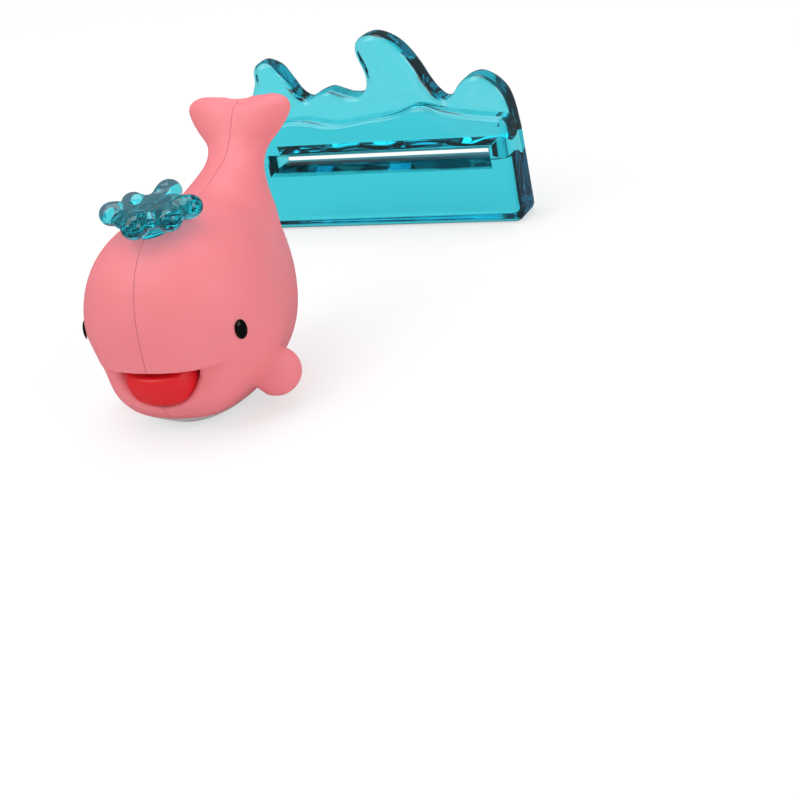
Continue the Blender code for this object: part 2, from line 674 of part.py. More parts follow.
def neck_collar(material):
    """White threaded insert: the tube's neck screws in behind, the duct pushes on in front."""
    bore_end = COLLAR_REAR_Y - NECK_LENGTH - GASKET - GAP
    wall_end = bore_end - COLLAR_WALL
    bore_r = NECK_R + GAP
    spigot_r = DUCT_BORE_R + SPIGOT_WALL
    flange_rear = SHOULDER_Y - SHOULDER_DROP - SHOULDER_CLEARANCE - WALL - GAP
    flange_front = flange_rear - COLLAR_FLANGE
    profile = (
        (DUCT_BORE_R, wall_end - SPIGOT_LENGTH), (spigot_r, wall_end - SPIGOT_LENGTH),
        (spigot_r, wall_end), (HUB_R, wall_end), (HUB_R, flange_front),
        (COLLAR_FLANGE_R, flange_front), (COLLAR_FLANGE_R, flange_rear),
        (HUB_R, flange_rear), (HUB_R, COLLAR_REAR_Y), (bore_r, COLLAR_REAR_Y),
        (bore_r, bore_end), (DUCT_BORE_R, bore_end),
    )
    return turned("neck_collar", profile, TUBE_AXIS_Z, 28, material)


def neck_gasket(material):
    """Soft ring at the bottom of the collar's bore."""
    bore_end = COLLAR_REAR_Y - NECK_LENGTH - GASKET - GAP
    profile = ((DUCT_BORE_R, bore_end + GAP), (NECK_R, bore_end + GAP),
               (NECK_R, bore_end + GAP + GASKET), (DUCT_BORE_R, bore_end + GAP + GASKET))
    return turned("neck_gasket", profile, TUBE_AXIS_Z, 24, material)


def feed_duct(material):
    """Bent duct from the collar's spigot down to the outlet."""
    wall_end = COLLAR_REAR_Y - NECK_LENGTH - GASKET - GAP - COLLAR_WALL
    rear = wall_end - GAP
    socket_end = wall_end - SPIGOT_LENGTH - GAP
    front = VALVE_SEAT_Y + GAP + VALVE_FLANGE + GAP
    spigot_r = DUCT_BORE_R + SPIGOT_WALL
    socket_r = spigot_r + GAP
    bend = (socket_end - front) * 0.55
    corners = [(socket_end, TUBE_AXIS_Z), (socket_end - bend, TUBE_AXIS_Z),
               (front + bend, OUTLET_Z), (front, OUTLET_Z)]
    steps = 8

    def centre(t):
        weights = ((1 - t) ** 3, 3 * t * (1 - t) ** 2, 3 * t ** 2 * (1 - t), t ** 3)
        return [sum(w * c[axis] for w, c in zip(weights, corners)) for axis in (0, 1)]

    path = [centre(i / steps) for i in range(steps + 1)]
    tilts = [0.0] * (steps + 1)
    for i in range(1, steps):
        run = path[i - 1][0] - path[i + 1][0]
        fall = path[i - 1][1] - path[i + 1][1]
        tilts[i] = Vector((run, fall)).angle_signed(Vector((1, 0)))
    outside = [(rear, TUBE_AXIS_Z, 0, socket_r + SPIGOT_WALL),
               (socket_end, TUBE_AXIS_Z, 0, socket_r + SPIGOT_WALL)]
    outside += [(y, z, tilt, spigot_r) for (y, z), tilt in zip(path[1:-1], tilts[1:-1])]
    outside += [(front + VALVE_FLANGE, OUTLET_Z, 0, spigot_r),
                (front + VALVE_FLANGE, OUTLET_Z, 0, VALVE_FLANGE_R),
                (front, OUTLET_Z, 0, VALVE_FLANGE_R)]
    inside = [(front, OUTLET_Z, 0, DUCT_BORE_R)]
    inside += [(y, z, tilt, DUCT_BORE_R)
               for (y, z), tilt in reversed(list(zip(path[1:-1], tilts[1:-1])))]
    inside += [(socket_end, TUBE_AXIS_Z, 0, DUCT_BORE_R),
               (socket_end, TUBE_AXIS_Z, 0, socket_r),
               (rear, TUBE_AXIS_Z, 0, socket_r)]
    bm = bmesh.new()
    rings = []
    for y, z, tilt, radius in outside + inside:
        ring = []
        for k in range(16):
            a = 2 * pi * k / 16
            v = radius * sin(a)
            ring.append(bm.verts.new((radius * cos(a), y - v * sin(tilt), z + v * cos(tilt))))
        rings.append(ring)
    stitch(bm, rings, closed=True)
    return new_object("feed_duct", bm, material)


def slit_valve(material):
    """Silicone dome with a slit, which closes the outlet by itself."""
    rear = VALVE_SEAT_Y + GAP + VALVE_FLANGE
    seat = VALVE_SEAT_Y + GAP
    outer_r = OUTLET_BORE_R - GAP
    inner_r = outer_r - VALVE_SKIN
    arcs = [0.5 * pi * i / 4 for i in range(5)]
    outer = [(outer_r * sin(a), seat - VALVE_DOME + outer_r * 0.4 * (1 - cos(a))) for a in arcs]
    inner = [(inner_r * sin(a), seat - VALVE_DOME + VALVE_SKIN + inner_r * 0.4 * (1 - cos(a)))
             for a in reversed(arcs)]
    outer[0] = (0, outer[0][1])
    inner[-1] = (0, inner[-1][1])
    profile = outer + [(outer_r, seat), (VALVE_FLANGE_R, seat), (VALVE_FLANGE_R, rear),
                       (inner_r, rear)] + inner
    valve = turned("slit_valve", profile, OUTLET_Z, 20, material)
    return cut(valve, block((-SLIT_LENGTH / 2, SLIT_LENGTH / 2), (MOUTH_Y, seat - VALVE_SKIN),
                            (OUTLET_Z - SLIT_WIDTH / 2, OUTLET_Z + SLIT_WIDTH / 2)))


def slab(name, outline, front, back, edge):
    """Extrude an (x, z) outline along Y, with small bevels round both faces."""
    bm = bmesh.new()
    face = bm.faces.new([bm.verts.new((x, front, z)) for x, z in outline])
    pulled = bmesh.ops.extrude_face_region(bm, geom=[face])
    bmesh.ops.translate(bm, verts=[v for v in pulled["geom"] if isinstance(v, bmesh.types.BMVert)],
                        vec=(0, back - front, 0))
    bm.normal_update()
    rims = [e for e in bm.edges if len(e.link_faces) == 2
            and abs(e.verts[0].co.y - e.verts[1].co.y) < edge / 2]
    bmesh.ops.bevel(bm, geom=rims, offset=edge, offset_type="OFFSET", segments=2, profile=0.6,
                    affect="EDGES", clamp_overlap=True)
    return new_object(name, bm)


def wave_squeezer(material):
    """Clear wave with a slot for the flattened tube, standing on its own foot."""
    outline = [(x * WAVE_HALF_WIDTH, z * WAVE_HEIGHT)
               for x, z in smooth_line(WAVE_OUTLINE_SHARES[1:-1], 3)]
    outline = [(-WAVE_HALF_WIDTH, 0)] + outline + [(WAVE_HALF_WIDTH, 0)]
    face_y = WAVE_BACK_Y - WAVE_THICKNESS
    lip_y = face_y - WAVE_LIP_DEPTH
    wave = slab("wave_squeezer", outline, face_y, WAVE_BACK_Y, WAVE_EDGE)
    lip = [(x * WAVE_HALF_WIDTH, z * WAVE_HEIGHT) for x, z in smooth_line(LIP_OUTLINE_SHARES, 3)]
    lip = [(-WAVE_HALF_WIDTH, 0)] + lip + [(WAVE_HALF_WIDTH, 0)]
    join(wave, slab("lip", lip, lip_y, face_y + WAVE_THICKNESS / 2, WAVE_EDGE))
    slot_half = SLOT_HEIGHT / 2
    cut(wave, slot_cutter(lip_y, WAVE_BACK_Y, slot_half))
    wave.data.materials.clear()
    wave.data.materials.append(material)
    return wave


def slot_cutter(front, back, slot_half):
    """The slot's through cut, flared towards both faces."""
    flare = slot_half + SLOT_FLARE
    side = SLOT_HALF_WIDTH + SLOT_FLARE
    rows = ((front - SLOT_FLARE_DEPTH, side + SLOT_FLARE, flare + SLOT_FLARE),
            (front, side, flare), (front + SLOT_FLARE_DEPTH, SLOT_HALF_WIDTH, slot_half),
            (back - SLOT_FLARE_DEPTH, SLOT_HALF_WIDTH, slot_half), (back, side, flare),
            (back + SLOT_FLARE_DEPTH, side + SLOT_FLARE, flare + SLOT_FLARE))
    bm = bmesh.new()
    rings = []
    for y, half_width, half_height in rows:
        corners = ((-half_width, -half_height), (half_width, -half_height),
                   (half_width, half_height), (-half_width, half_height))
        rings.append([bm.verts.new((x, y, TUBE_AXIS_Z + z)) for x, z in corners])
    stitch(bm, rings)
    bm.faces.new(rings[0])
    bm.faces.new(rings[-1])
    return new_object("slot_cutter", bm)


def shade(thing, angle=35):
    thing.data.shade_smooth()
    thing.data.set_sharp_from_angle(angle=radians(angle))


def main():
    clear_scene()
    pink = finish("pink_abs", "F28E96", 0.45)
    white = finish("white_abs", "DAD8D8", 0.4)
    black = finish("black_abs", "0C0B0D", 0.15)
    red = finish("red_silicone", "D93038", 0.4)
    clear_teal = finish("clear_teal_polystyrene", "0FA0A8", 0.05, transmission=0.9)
    pale_pp = finish("white_polypropylene", "ECEBE6", 0.5)
    seal = finish("grey_silicone", "B9BBBD", 0.6)
    pieces = [
        body_half(-1, pink), body_half(1, pink), belly_base(white),
        eye(-1, black), eye(1, black), tongue(red), splash(clear_teal),
        neck_collar(pale_pp), neck_gasket(seal), feed_duct(pale_pp), slit_valve(seal),
        wave_squeezer(clear_teal),
    ]
    for piece in pieces:
        shade(piece)


main()
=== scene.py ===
"""Dressed model of the whale cap and its clear wave squeezer.

The whale looks along -Y, the wave stands behind it on +Y, and +Z is up from the shelf.
"""

from math import cos, pi, radians, sin

import bmesh
import bpy
from mathutils import Matrix, Vector


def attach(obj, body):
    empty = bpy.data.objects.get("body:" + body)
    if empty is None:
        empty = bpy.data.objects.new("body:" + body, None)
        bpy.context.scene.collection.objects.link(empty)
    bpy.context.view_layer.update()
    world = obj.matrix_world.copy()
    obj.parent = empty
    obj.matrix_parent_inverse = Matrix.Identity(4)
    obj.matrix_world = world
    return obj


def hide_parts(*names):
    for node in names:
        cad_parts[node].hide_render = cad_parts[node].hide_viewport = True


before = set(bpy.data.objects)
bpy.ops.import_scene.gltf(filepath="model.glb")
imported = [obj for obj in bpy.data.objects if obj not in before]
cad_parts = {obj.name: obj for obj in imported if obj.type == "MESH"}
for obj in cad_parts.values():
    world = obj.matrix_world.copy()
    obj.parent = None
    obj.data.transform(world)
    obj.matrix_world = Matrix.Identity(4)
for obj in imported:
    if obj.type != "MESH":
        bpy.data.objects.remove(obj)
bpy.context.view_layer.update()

MM = 0.001
# Clearance round loose pieces, how far cutters run past, and the least edge that is kept
GAP = 0.3 * MM
OVERRUN = 60 * MM
SLIVER = MM / 1000

# Whale form
HEAD_Y = -5.0 * MM
HEAD_Z = 20.0 * MM
HEAD_REACH = 22.9 * MM
HEAD_HALF_WIDTH = 23.2 * MM
HEAD_RISE = 26.5 * MM
HEAD_DROP = 22.0 * MM
HEAD_EXPONENT = 2.45
UPPER_EXPONENT = 2.25
LOWER_EXPONENT = 1.75
TAIL_REACH = 37.6 * MM
TAIL_HEIGHT = 60.0 * MM
# Stations of the spine: shares of y, z, half width, rise and drop, and the lean in degrees
SPINE_SHARES = (
    (0.133, 0.350, 0.893, 0.981, 0.885, 8),
    (0.346, 0.408, 0.785, 0.868, 0.940, 20),
    (0.545, 0.533, 0.597, 0.604, 0.679, 36),
    (0.665, 0.658, 0.418, 0.377, 0.377, 44),
    (0.758, 0.747, 0.323, 0.204, 0.219, 46),
    (0.840, 0.810, 0.337, 0.166, 0.166, 48),
    (0.894, 0.862, 0.466, 0.155, 0.155, 52),
    (0.942, 0.913, 0.569, 0.143, 0.143, 56),
    (0.968, 0.952, 0.599, 0.117, 0.117, 59),
    (0.989, 0.982, 0.543, 0.075, 0.075, 61),
    (1.000, 1.000, 0.388, 0.000, 0.000, 62),
)
HEAD_RINGS = 12
RINGS_PER_STATION = 3
RING_VERTS = 48
RING_MATCH = 0.01
SKIN_VOXEL = 0.45 * MM
SKIN_TURNS = 2
SKIN_WALL = 2.2 * MM
RIDGE_HALF = 0.9 * MM
BELLY_TOP_Z = 3.6 * MM
FLUKE_NOTCH = 2.0 * MM
FLUKE_NOTCH_REACH = 9.0 * MM
FLUKE_NOTCH_GRIP = FLUKE_NOTCH_REACH / 6

# Cheeks drawn in and chin pushed out: place, shift and reach
CHEEK_PLACE = (19.5 * MM, -21.0 * MM, 16.5 * MM)
CHEEK_SHIFT = (-1.3 * MM, 0.6 * MM, 0)
CHEEK_REACH = 7.5 * MM
CHIN_PLACE = (10.5 * MM, -22.0 * MM, 6.3 * MM)
CHIN_SHIFT = (0.75 * MM, -0.85 * MM, -0.85 * MM)
CHIN_REACH = 10.5 * MM
NUDGE_GRIP = 0.45 * MM

# Seat in the whale's rear; its axis lies its own radius above the shelf
SEAT_R = 19.0 * MM
SEAT_RIDGE_Y = 21.0 * MM
SEAT_FRONT_Y = 15.0 * MM
SEAT_NECK_R = 6.0 * MM
HUB_R = 8.0 * MM

# Threaded insert: its outline by radius and y, and the thread in its bore
COLLAR_BORE_R = 6.3 * MM
COLLAR_PROFILE = (
    (2.6 * MM, -0.8 * MM), (4.0 * MM, -0.8 * MM), (4.0 * MM, 4.2 * MM), (8.0 * MM, 4.2 * MM),
    (8.0 * MM, 10.5 * MM), (11.5 * MM, 10.5 * MM), (11.5 * MM, 12.5 * MM),
    (8.0 * MM, 12.5 * MM), (8.0 * MM, 15.6 * MM), (COLLAR_BORE_R, 15.6 * MM),
    (COLLAR_BORE_R, 5.9 * MM), (2.6 * MM, 5.9 * MM),
)
COLLAR_EDGE = 0.25 * MM
LATHE_STEPS = 96
THREAD_PITCH = 2.4 * MM
THREAD_DEPTH = 0.6 * MM
THREAD_RUN = (7.2 * MM, 14.6 * MM)
THREAD_ROOT = MM / 10
THREAD_STEPS = 72

# Seam between the two halves, and the lap under it
VISIBLE_SEAM = 0.12 * MM
LAP_DEPTH = 0.5 * MM
LAP_ROOT = 0.6 * MM

# Jaw, mouth and outlet
LIP_Z = 17.3 * MM
LIP_FADE_DROP = 0.9 * MM
LIP_FADE = 1.6 * MM
LIP_FLOOR_Z = BELLY_TOP_Z + 1.5 * MM
LIP_TURNS = 70
JAW_CENTRE = (0, 7.3 * MM, 6.0 * MM)
JAW_RADII = (33.5 * MM, 33.5 * MM, 40.9 * MM)
JAW_BACK_Y = -14.0 * MM
MOUTH_CENTRE = (0, -26.5 * MM, 17.3 * MM)
MOUTH_RADII = (11.8 * MM, 9.0 * MM, 9.5 * MM)
RECESS_LOW = (-9.7 * MM, -25.6 * MM, 14.0 * MM)
RECESS_HIGH = (9.7 * MM, -18.2 * MM, 18.2 * MM)
OUTLET_Z = 10.8 * MM
OUTLET_R = 2.9 * MM
OUTLET_BLOCK_HALF = 2.4 * OUTLET_R
OUTLET_BLOCK_BACK_Y = -14.6 * MM

# Tongue
TONGUE_CENTRE = (0, -20.8 * MM, 14.2 * MM)
TONGUE_RADII = (9.2 * MM, 7.2 * MM, 7.0 * MM)
TONGUE_TOP_Z = 17.9 * MM
TONGUE_BROW_Z = 16.1 * MM
TONGUE_BROW_Y = -23.5 * MM
TONGUE_BROW_REACH = 2.2 * MM
TONGUE_ROUNDNESS = 0.8
TONGUE_CUTS = 23
TONGUE_ROOM = 0.35 * MM
TONGUE_SWING = radians(8)
TONGUE_PIVOT = (0, -18.9 * MM, 14.6 * MM)
TONGUE_BEAD_R = 1.5 * MM
TONGUE_BEAD_HALF = 6.5 * MM
TONGUE_VOXEL = 0.3 * MM
TONGUE_TURNS = 4
TONGUE_BROW_TURNS = 60

# Flippers
FIN_CENTRE = (20.9 * MM, -8.2 * MM, 8.9 * MM)
FIN_OUT = Vector((0.78, 0.62, 0.0))
FIN_UP = Vector((-0.05, 0.30, 0.95))
FIN_RADII = (5.9 * MM, 2.6 * MM, 5.7 * MM)
FIN_PATCH = 0.35 * MM
FIN_ROOT_SPAN = 1.8 * FIN_RADII[0]
FIN_ROOT_FADE = 2.4 * MM
FIN_ROOT_FLOOR_Z = BELLY_TOP_Z + 1.0 * MM
FIN_ROOT_TURNS = 22

# Eyes
EYE_Y = -17.9 * MM
EYE_Z = 23.8 * MM
EYE_RADII = (1.65 * MM, 2.3 * MM, 0.75 * MM)
EYE_SUNK = 0.12 * MM
EYE_CUT_MERGE = 0.005 * MM
SLOPE_STEP = MM / 10

# Spout: lobes by bearing, reach and lift of their middles, and radius
SPOUT_Y = -10.5 * MM
SPOUT_Z = 49.0 * MM
SPOUT_CORE_RADII = (9.0 * MM, 9.0 * MM, 3.1 * MM)
SPOUT_DISH_RADII = (6.6 * MM, 6.6 * MM, 1.7 * MM)
SPOUT_DISH_LIFT = 3.3 * MM
SPOUT_STEM_R = 5.2 * MM
SPOUT_STEM_DROP = 6 * MM
SPOUT_ARM_HALF = 2.9 * MM
SPOUT_ARM_END_SHARE = 0.95
SPOUT_LOBE_FLATNESS = 0.92
SPOUT_LOBES = (
    (radians(12), 9.2 * MM, 0.3 * MM, 3.0 * MM),
    (radians(90), 8.8 * MM, 1.5 * MM, 3.1 * MM),
    (radians(148), 8.6 * MM, 0.6 * MM, 2.8 * MM),
    (radians(197), 9.0 * MM, 0.9 * MM, 3.0 * MM),
    (radians(274), 8.8 * MM, 0.0 * MM, 3.2 * MM),
    (radians(326), 9.0 * MM, 0.1 * MM, 3.1 * MM),
)
SPOUT_VOXEL = 0.32 * MM
SPOUT_TURNS = 22

# Wave squeezer
WAVE_BACK_Y = 112.5 * MM
WAVE_FACE_Y = 104.9 * MM
WAVE_LIP_Y = 100.3 * MM
WAVE_HALF_WIDTH = 39.5 * MM
WAVE_HEIGHT = 52.8 * MM
WAVE_ROUND = 2.4 * MM
WAVE_ROUND_STEPS = 5
WAVE_ROUND_ANGLE = radians(55)
SLOT_HALF_WIDTH = 32.0 * MM
SLOT_HALF_HEIGHT = 1.6 * MM
SLOT_FLARE = 1.6 * MM
SLOT_FLARE_DEPTH = 3.0 * MM
OUTLINE_STEPS = 4
# Outlines of the tall wave and the low wave before it: shares of half width and height
WAVE_OUTLINE_SHARES = (
    (-1.000, 0.000), (-1.000, 0.300), (-0.985, 0.560), (-0.950, 0.700), (-0.905, 0.780),
    (-0.892, 0.845), (-0.860, 0.880), (-0.797, 0.890), (-0.705, 0.855), (-0.640, 0.780),
    (-0.580, 0.708), (-0.510, 0.680), (-0.425, 0.708), (-0.342, 0.725), (-0.263, 0.706),
    (-0.190, 0.688), (-0.100, 0.690), (-0.046, 0.730), (-0.040, 0.800), (-0.070, 0.875),
    (-0.078, 0.930), (-0.052, 0.972), (0.008, 0.995), (0.084, 1.000), (0.190, 0.967),
    (0.273, 0.909), (0.349, 0.820), (0.400, 0.739), (0.453, 0.676), (0.514, 0.640),
    (0.577, 0.659), (0.635, 0.708), (0.709, 0.748), (0.795, 0.758), (0.884, 0.725),
    (0.952, 0.665), (0.985, 0.583), (1.000, 0.450), (1.000, 0.000),
)
LIP_OUTLINE_SHARES = (
    (-1.000, 0.590), (-0.780, 0.588), (-0.540, 0.600), (-0.300, 0.570), (-0.020, 0.592),
    (0.190, 0.610), (0.360, 0.642), (0.540, 0.608), (0.760, 0.580), (1.000, 0.560),
)

# Finishes
CLOUD_SIZE = 14 * MM
GLOSS_SPREAD = 0.04
GLOW_RADII = (1.0, 0.35, 0.3)
GLOW_DEPTH = 1.5 * MM
CLEAR_SHARE = 0.98
POLYSTYRENE_IOR = 1.55

# The photograph's camera: bearing round the object, height, roll, and where its target shows
AZIMUTH = radians(33.4)
ELEVATION = radians(20.2)
ROLL = radians(13.6)
DISTANCE = 475.2 * MM
TARGET = (0, 0, 23 * MM)
TARGET_PX = (200, 300)
CENTRE_PX = 400
FOCAL_PX = 2044

# Studio: each softbox has its place, its size and its power
LIGHT_AIM = (0, 20 * MM, 25 * MM)
SOFTBOXES = (
    ("key_softbox", (-0.5, -0.55, 0.9), (0.7, 0.7), 3.5),
    ("fill_softbox", (0.9, -0.3, 0.45), (0.6, 0.6), 2.5),
    ("back_softbox", (-0.2, 0.2, 1.25), (1.1, 1.0), 7.3),
)
WORLD_LEVEL = 0.6
WORLD_GLOSS_LEVEL = 0.15
# Through clear plastic the surround darkens to this level between these two heights
CEILING_SHARES = (0.15, 0.55)
CEILING_LEVEL = 0.12
# The floor keeps its shadow up to the near reach and is plain white past the far one
FLOOR_SIZE = 8.0
FLOOR_GLOW_SHARE = 0.6
SWEEP_NEAR = 0.3
SWEEP_FAR = 1.0


def select_only(thing):
    """Deselect everything but one object, and make it the active one."""
    bpy.ops.object.select_all(action="DESELECT")
    thing.select_set(True)
    bpy.context.view_layer.objects.active = thing


def added(name, turn=None):
    """The primitive just added, named, with its place and size worked into its mesh."""
    thing = bpy.context.object
    thing.name = name
    thing.data.name = name
    if turn:
        thing.rotation_euler = turn.to_euler()
    select_only(thing)
    bpy.ops.object.transform_apply(location=True, rotation=True, scale=True)
    return thing


def box(name, low, high):
    middle = [(a + b) / 2 for a, b in zip(low, high)]
    size = [b - a for a, b in zip(low, high)]
    bpy.ops.mesh.primitive_cube_add(size=1, location=middle, scale=size)
    return added(name)


def ball(name, centre, radii, turn=None, segments=64, rings=40):
    bpy.ops.mesh.primitive_uv_sphere_add(segments=segments, ring_count=rings, radius=1,
                                         location=centre, scale=radii)
    return added(name, turn)


def bar(name, radius, start, end, vertices=64, end_radius=None):
    """A round bar, or a cone, between two points."""
    start, end = Vector(start), Vector(end)
    run = end - start
    turn = run.to_track_quat("Z", "Y")
    bpy.ops.mesh.primitive_cone_add(vertices=vertices, radius1=radius,
                                    radius2=radius if end_radius is None else end_radius,
                                    depth=run.length, location=(start + end) / 2)
    return added(name, turn)


def copy_of(thing, name):
    twin = thing.copy()
    twin.data = thing.data.copy()
    twin.name = name
    twin.data.name = name
    bpy.context.scene.collection.objects.link(twin)
    return twin


def modify(thing, kind, **settings):
    """Give an object a modifier with its settings, and apply it."""
    select_only(thing)
    modifier = thing.modifiers.new(kind.lower(), kind)
    for key, value in settings.items():
        setattr(modifier, key, value)
    bpy.ops.object.modifier_apply(modifier=modifier.name)
    return thing


def carve(thing, *tools, operation="DIFFERENCE"):
    """Cut, join or keep the overlap with each tool in turn; the tools are used up."""
    for tool in tools:
        modify(thing, "BOOLEAN", object=tool, operation=operation, solver="MANIFOLD")
        bpy.data.objects.remove(tool, do_unlink=True)
    return thing


def soften(thing, name, weight, turns):
    """Smooth the vertices that weight() picks, more where it is nearer 1."""
    group = thing.vertex_groups.new(name=name)
    for vert in thing.data.vertices:
        amount = weight(vert.co)
        if amount > 0:
            group.add([vert.index], min(amount, 1.0), "REPLACE")
    modify(thing, "SMOOTH", vertex_group=name, factor=0.5, iterations=turns)
    thing.vertex_groups.clear()


def turn(thing, angle, centre):
    """Turn a piece's mesh about X, right-handed; the operator itself turns the other way."""
    select_only(thing)
    bpy.ops.object.mode_set(mode="EDIT")
    bpy.ops.mesh.select_all(action="SELECT")
    bpy.ops.transform.rotate(value=-angle, orient_axis="X", orient_type="GLOBAL",
                             center_override=centre)
    bpy.ops.object.mode_set(mode="OBJECT")
    return thing


def moulded(thing, voxel, turns):
    """Melt joined forms into one soft-edged skin."""
    modify(thing, "REMESH", mode="VOXEL", voxel_size=voxel)
    soften(thing, "all_over", lambda co: 1.0, turns)
    return thing


def smooth(thing, degrees=35):
    select_only(thing)
    bpy.ops.object.shade_smooth_by_angle(angle=radians(degrees))
    return thing


def blend_rows(rows, position):
    """Catmull-Rom through rows of numbers at a position counted in rows."""
    last = len(rows) - 1
    i = min(int(position), last - 1)
    t = position - i
    before, a, b, after = rows[max(i - 1, 0)], rows[i], rows[i + 1], rows[min(i + 2, last)]
    return [
        q + 0.5 * t * ((r - p) + t * ((2 * p - 5 * q + 4 * r - s) + t * (3 * (q - r) + s - p)))
        for p, q, r, s in zip(before, a, b, after)
    ]


def whale_rows(grow):
    """y, z, half width, rise, drop and lean of each ring, from the nose to the fluke's ridge."""
    rows = []
    for i in range(1, HEAD_RINGS):
        angle = 0.5 * pi * i / HEAD_RINGS
        share = (1 - cos(angle) ** HEAD_EXPONENT) ** (1 / HEAD_EXPONENT)
        rows.append((HEAD_Y - (HEAD_REACH + grow) * cos(angle), HEAD_Z,
                     (HEAD_HALF_WIDTH + grow) * share, (HEAD_RISE + grow) * share,
                     (HEAD_DROP + grow) * share, 0.0))
    scale = (TAIL_REACH, TAIL_HEIGHT, HEAD_HALF_WIDTH, HEAD_RISE, HEAD_RISE, radians(1))
    stations = [(HEAD_Y, HEAD_Z, HEAD_HALF_WIDTH, HEAD_RISE, HEAD_DROP, 0.0)]
    stations += [tuple(a * b for a, b in zip(row, scale)) for row in SPINE_SHARES]
    spans = (len(stations) - 1) * RINGS_PER_STATION
    for i in range(spans + 1):
        y, z, width, rise, drop, lean = blend_rows(stations, i / RINGS_PER_STATION)
        if i == spans:
            rise = drop = RIDGE_HALF - grow
        rows.append((y, z, width + grow, max(rise, 0.0) + grow, max(drop, 0.0) + grow, lean))
    return rows


def pick_verts(thing, test):
    """Select, in edit mode, the vertices that pass the test, and nothing else."""
    mesh = bmesh.from_edit_mesh(thing.data)
    for part in (mesh.faces, mesh.edges, mesh.verts):
        for item in part:
            item.select_set(False)
    for vert in mesh.verts:
        if test(vert):
            vert.select_set(True)
    mesh.select_flush(True)
    bmesh.update_edit_mesh(thing.data)


def square_ring(thing):
    """Push a round ring out to the section's squareness, above and below."""
    for side, exponent in ((1, UPPER_EXPONENT), (-1, LOWER_EXPONENT)):
        for k in range(1, RING_VERTS // 4):
            angle = 2 * pi * k / RING_VERTS
            share = (cos(angle) ** exponent + sin(angle) ** exponent) ** (-1 / exponent)
            pick_verts(thing, lambda v: v.co.z * side > 0
                       and abs(v.co.z * side - sin(angle)) < RING_MATCH
                       and abs(v.co.x) > RING_MATCH)
            bpy.ops.transform.resize(value=(share,) * 3, center_override=(0, 0, 0))


def nudge(skin, place, shift, reach):
    """Push the skin softly around the point nearest to a place, on both sides alike."""
    for side in (-1, 1):
        spot = Vector((side * place[0], place[1], place[2]))
        mesh = bmesh.from_edit_mesh(skin.data)
        nearest = min((v.co - spot).length for v in mesh.verts)
        pick_verts(skin, lambda v: (v.co - spot).length < nearest + NUDGE_GRIP)
        bpy.ops.transform.translate(value=(side * shift[0], shift[1], shift[2]),
                                    use_proportional_edit=True, proportional_size=reach,
                                    proportional_edit_falloff="SMOOTH")


def whale_skin(name, grow=0.0):
    """The whole outer form: one ring pulled back from the nose and up into the fluke."""
    rows = whale_rows(grow)
    bpy.ops.object.select_all(action="DESELECT")
    bpy.ops.mesh.primitive_circle_add(vertices=RING_VERTS, radius=1, fill_type="TRIFAN",
                                      rotation=(pi / 2, 0, 0))
    skin = added(name)
    bpy.ops.object.mode_set(mode="EDIT")
    bpy.ops.mesh.select_mode(type="VERT")
    square_ring(skin)
    pick_verts(skin, lambda v: len(v.link_edges) == RING_VERTS)
    bpy.ops.transform.translate(value=(0, -1, 0))
    y, z, width, rise, drop, lean = rows[0]
    bpy.ops.mesh.select_all(action="SELECT")
    nose_run = y - (HEAD_Y - HEAD_REACH - grow)
    bpy.ops.transform.resize(value=(width, nose_run, 1), center_override=(0, 0, 0))
    for side, reach in ((1, rise), (-1, drop)):
        pick_verts(skin, lambda v: v.co.z * side > RING_MATCH)
        bpy.ops.transform.resize(value=(1, 1, reach), center_override=(0, 0, 0))
    bpy.ops.mesh.select_all(action="SELECT")
    bpy.ops.transform.translate(value=(0, y, z))
    pick_verts(skin, lambda v: v.is_boundary)
    for row in rows[1:]:
        bpy.ops.mesh.extrude_edges_move()
        mesh = bmesh.from_edit_mesh(skin.data)
        mesh.verts.index_update()
        ring = {v.index for v in mesh.verts if v.select}
        bpy.ops.transform.rotate(value=lean, orient_axis="X", orient_type="GLOBAL",
                                 center_override=(0, y, z))
        bpy.ops.transform.translate(value=(0, row[0] - y, row[1] - z))
        bpy.ops.transform.resize(value=(row[2] / width, 1, 1), center_override=(0, row[0], row[1]))
        for side, ratio in ((1, row[3] / rise), (-1, row[4] / drop)):
            pick_verts(skin, lambda v: v.index in ring and (v.co.z - row[1]) * side > 1e-7)
            bpy.ops.transform.resize(value=(1, 1, ratio), center_override=(0, row[0], row[1]))
        pick_verts(skin, lambda v: v.index in ring)
        y, z, width, rise, drop, lean = row
        bpy.ops.transform.rotate(value=-lean, orient_axis="X", orient_type="GLOBAL",
                                 center_override=(0, y, z))
    bpy.ops.mesh.edge_face_add()
    pick_verts(skin, lambda v: v.index in ring and abs(v.co.x) < FLUKE_NOTCH_GRIP)
    bpy.ops.transform.translate(value=(0, -FLUKE_NOTCH * cos(lean), -FLUKE_NOTCH * sin(lean)),
                                use_proportional_edit=True, proportional_size=FLUKE_NOTCH_REACH,
                                proportional_edit_falloff="SMOOTH")
    nudge(skin, CHEEK_PLACE, CHEEK_SHIFT, CHEEK_REACH)
    nudge(skin, CHIN_PLACE, CHIN_SHIFT, CHIN_REACH)
    bpy.ops.mesh.select_all(action="SELECT")
    bpy.ops.mesh.normals_make_consistent(inside=False)
    bpy.ops.object.mode_set(mode="OBJECT")
    return skin


def rear_seat(grow=0.0):
    """Cone and the wall behind it, which leave the round seat in the whale's rear."""
    front, ridge = SEAT_FRONT_Y - grow, SEAT_RIDGE_Y - grow
    axis_z = SEAT_R
    cone = bar("seat_cone", SEAT_NECK_R, (0, front, axis_z), (0, ridge, axis_z),
               vertices=96, end_radius=SEAT_R + GAP + grow)
    wall = bar("seat_wall", SEAT_R + GAP + grow, (0, ridge - GAP / 10, axis_z),
               (0, ridge + OVERRUN, axis_z), vertices=96)
    return carve(cone, wall, operation="UNION")


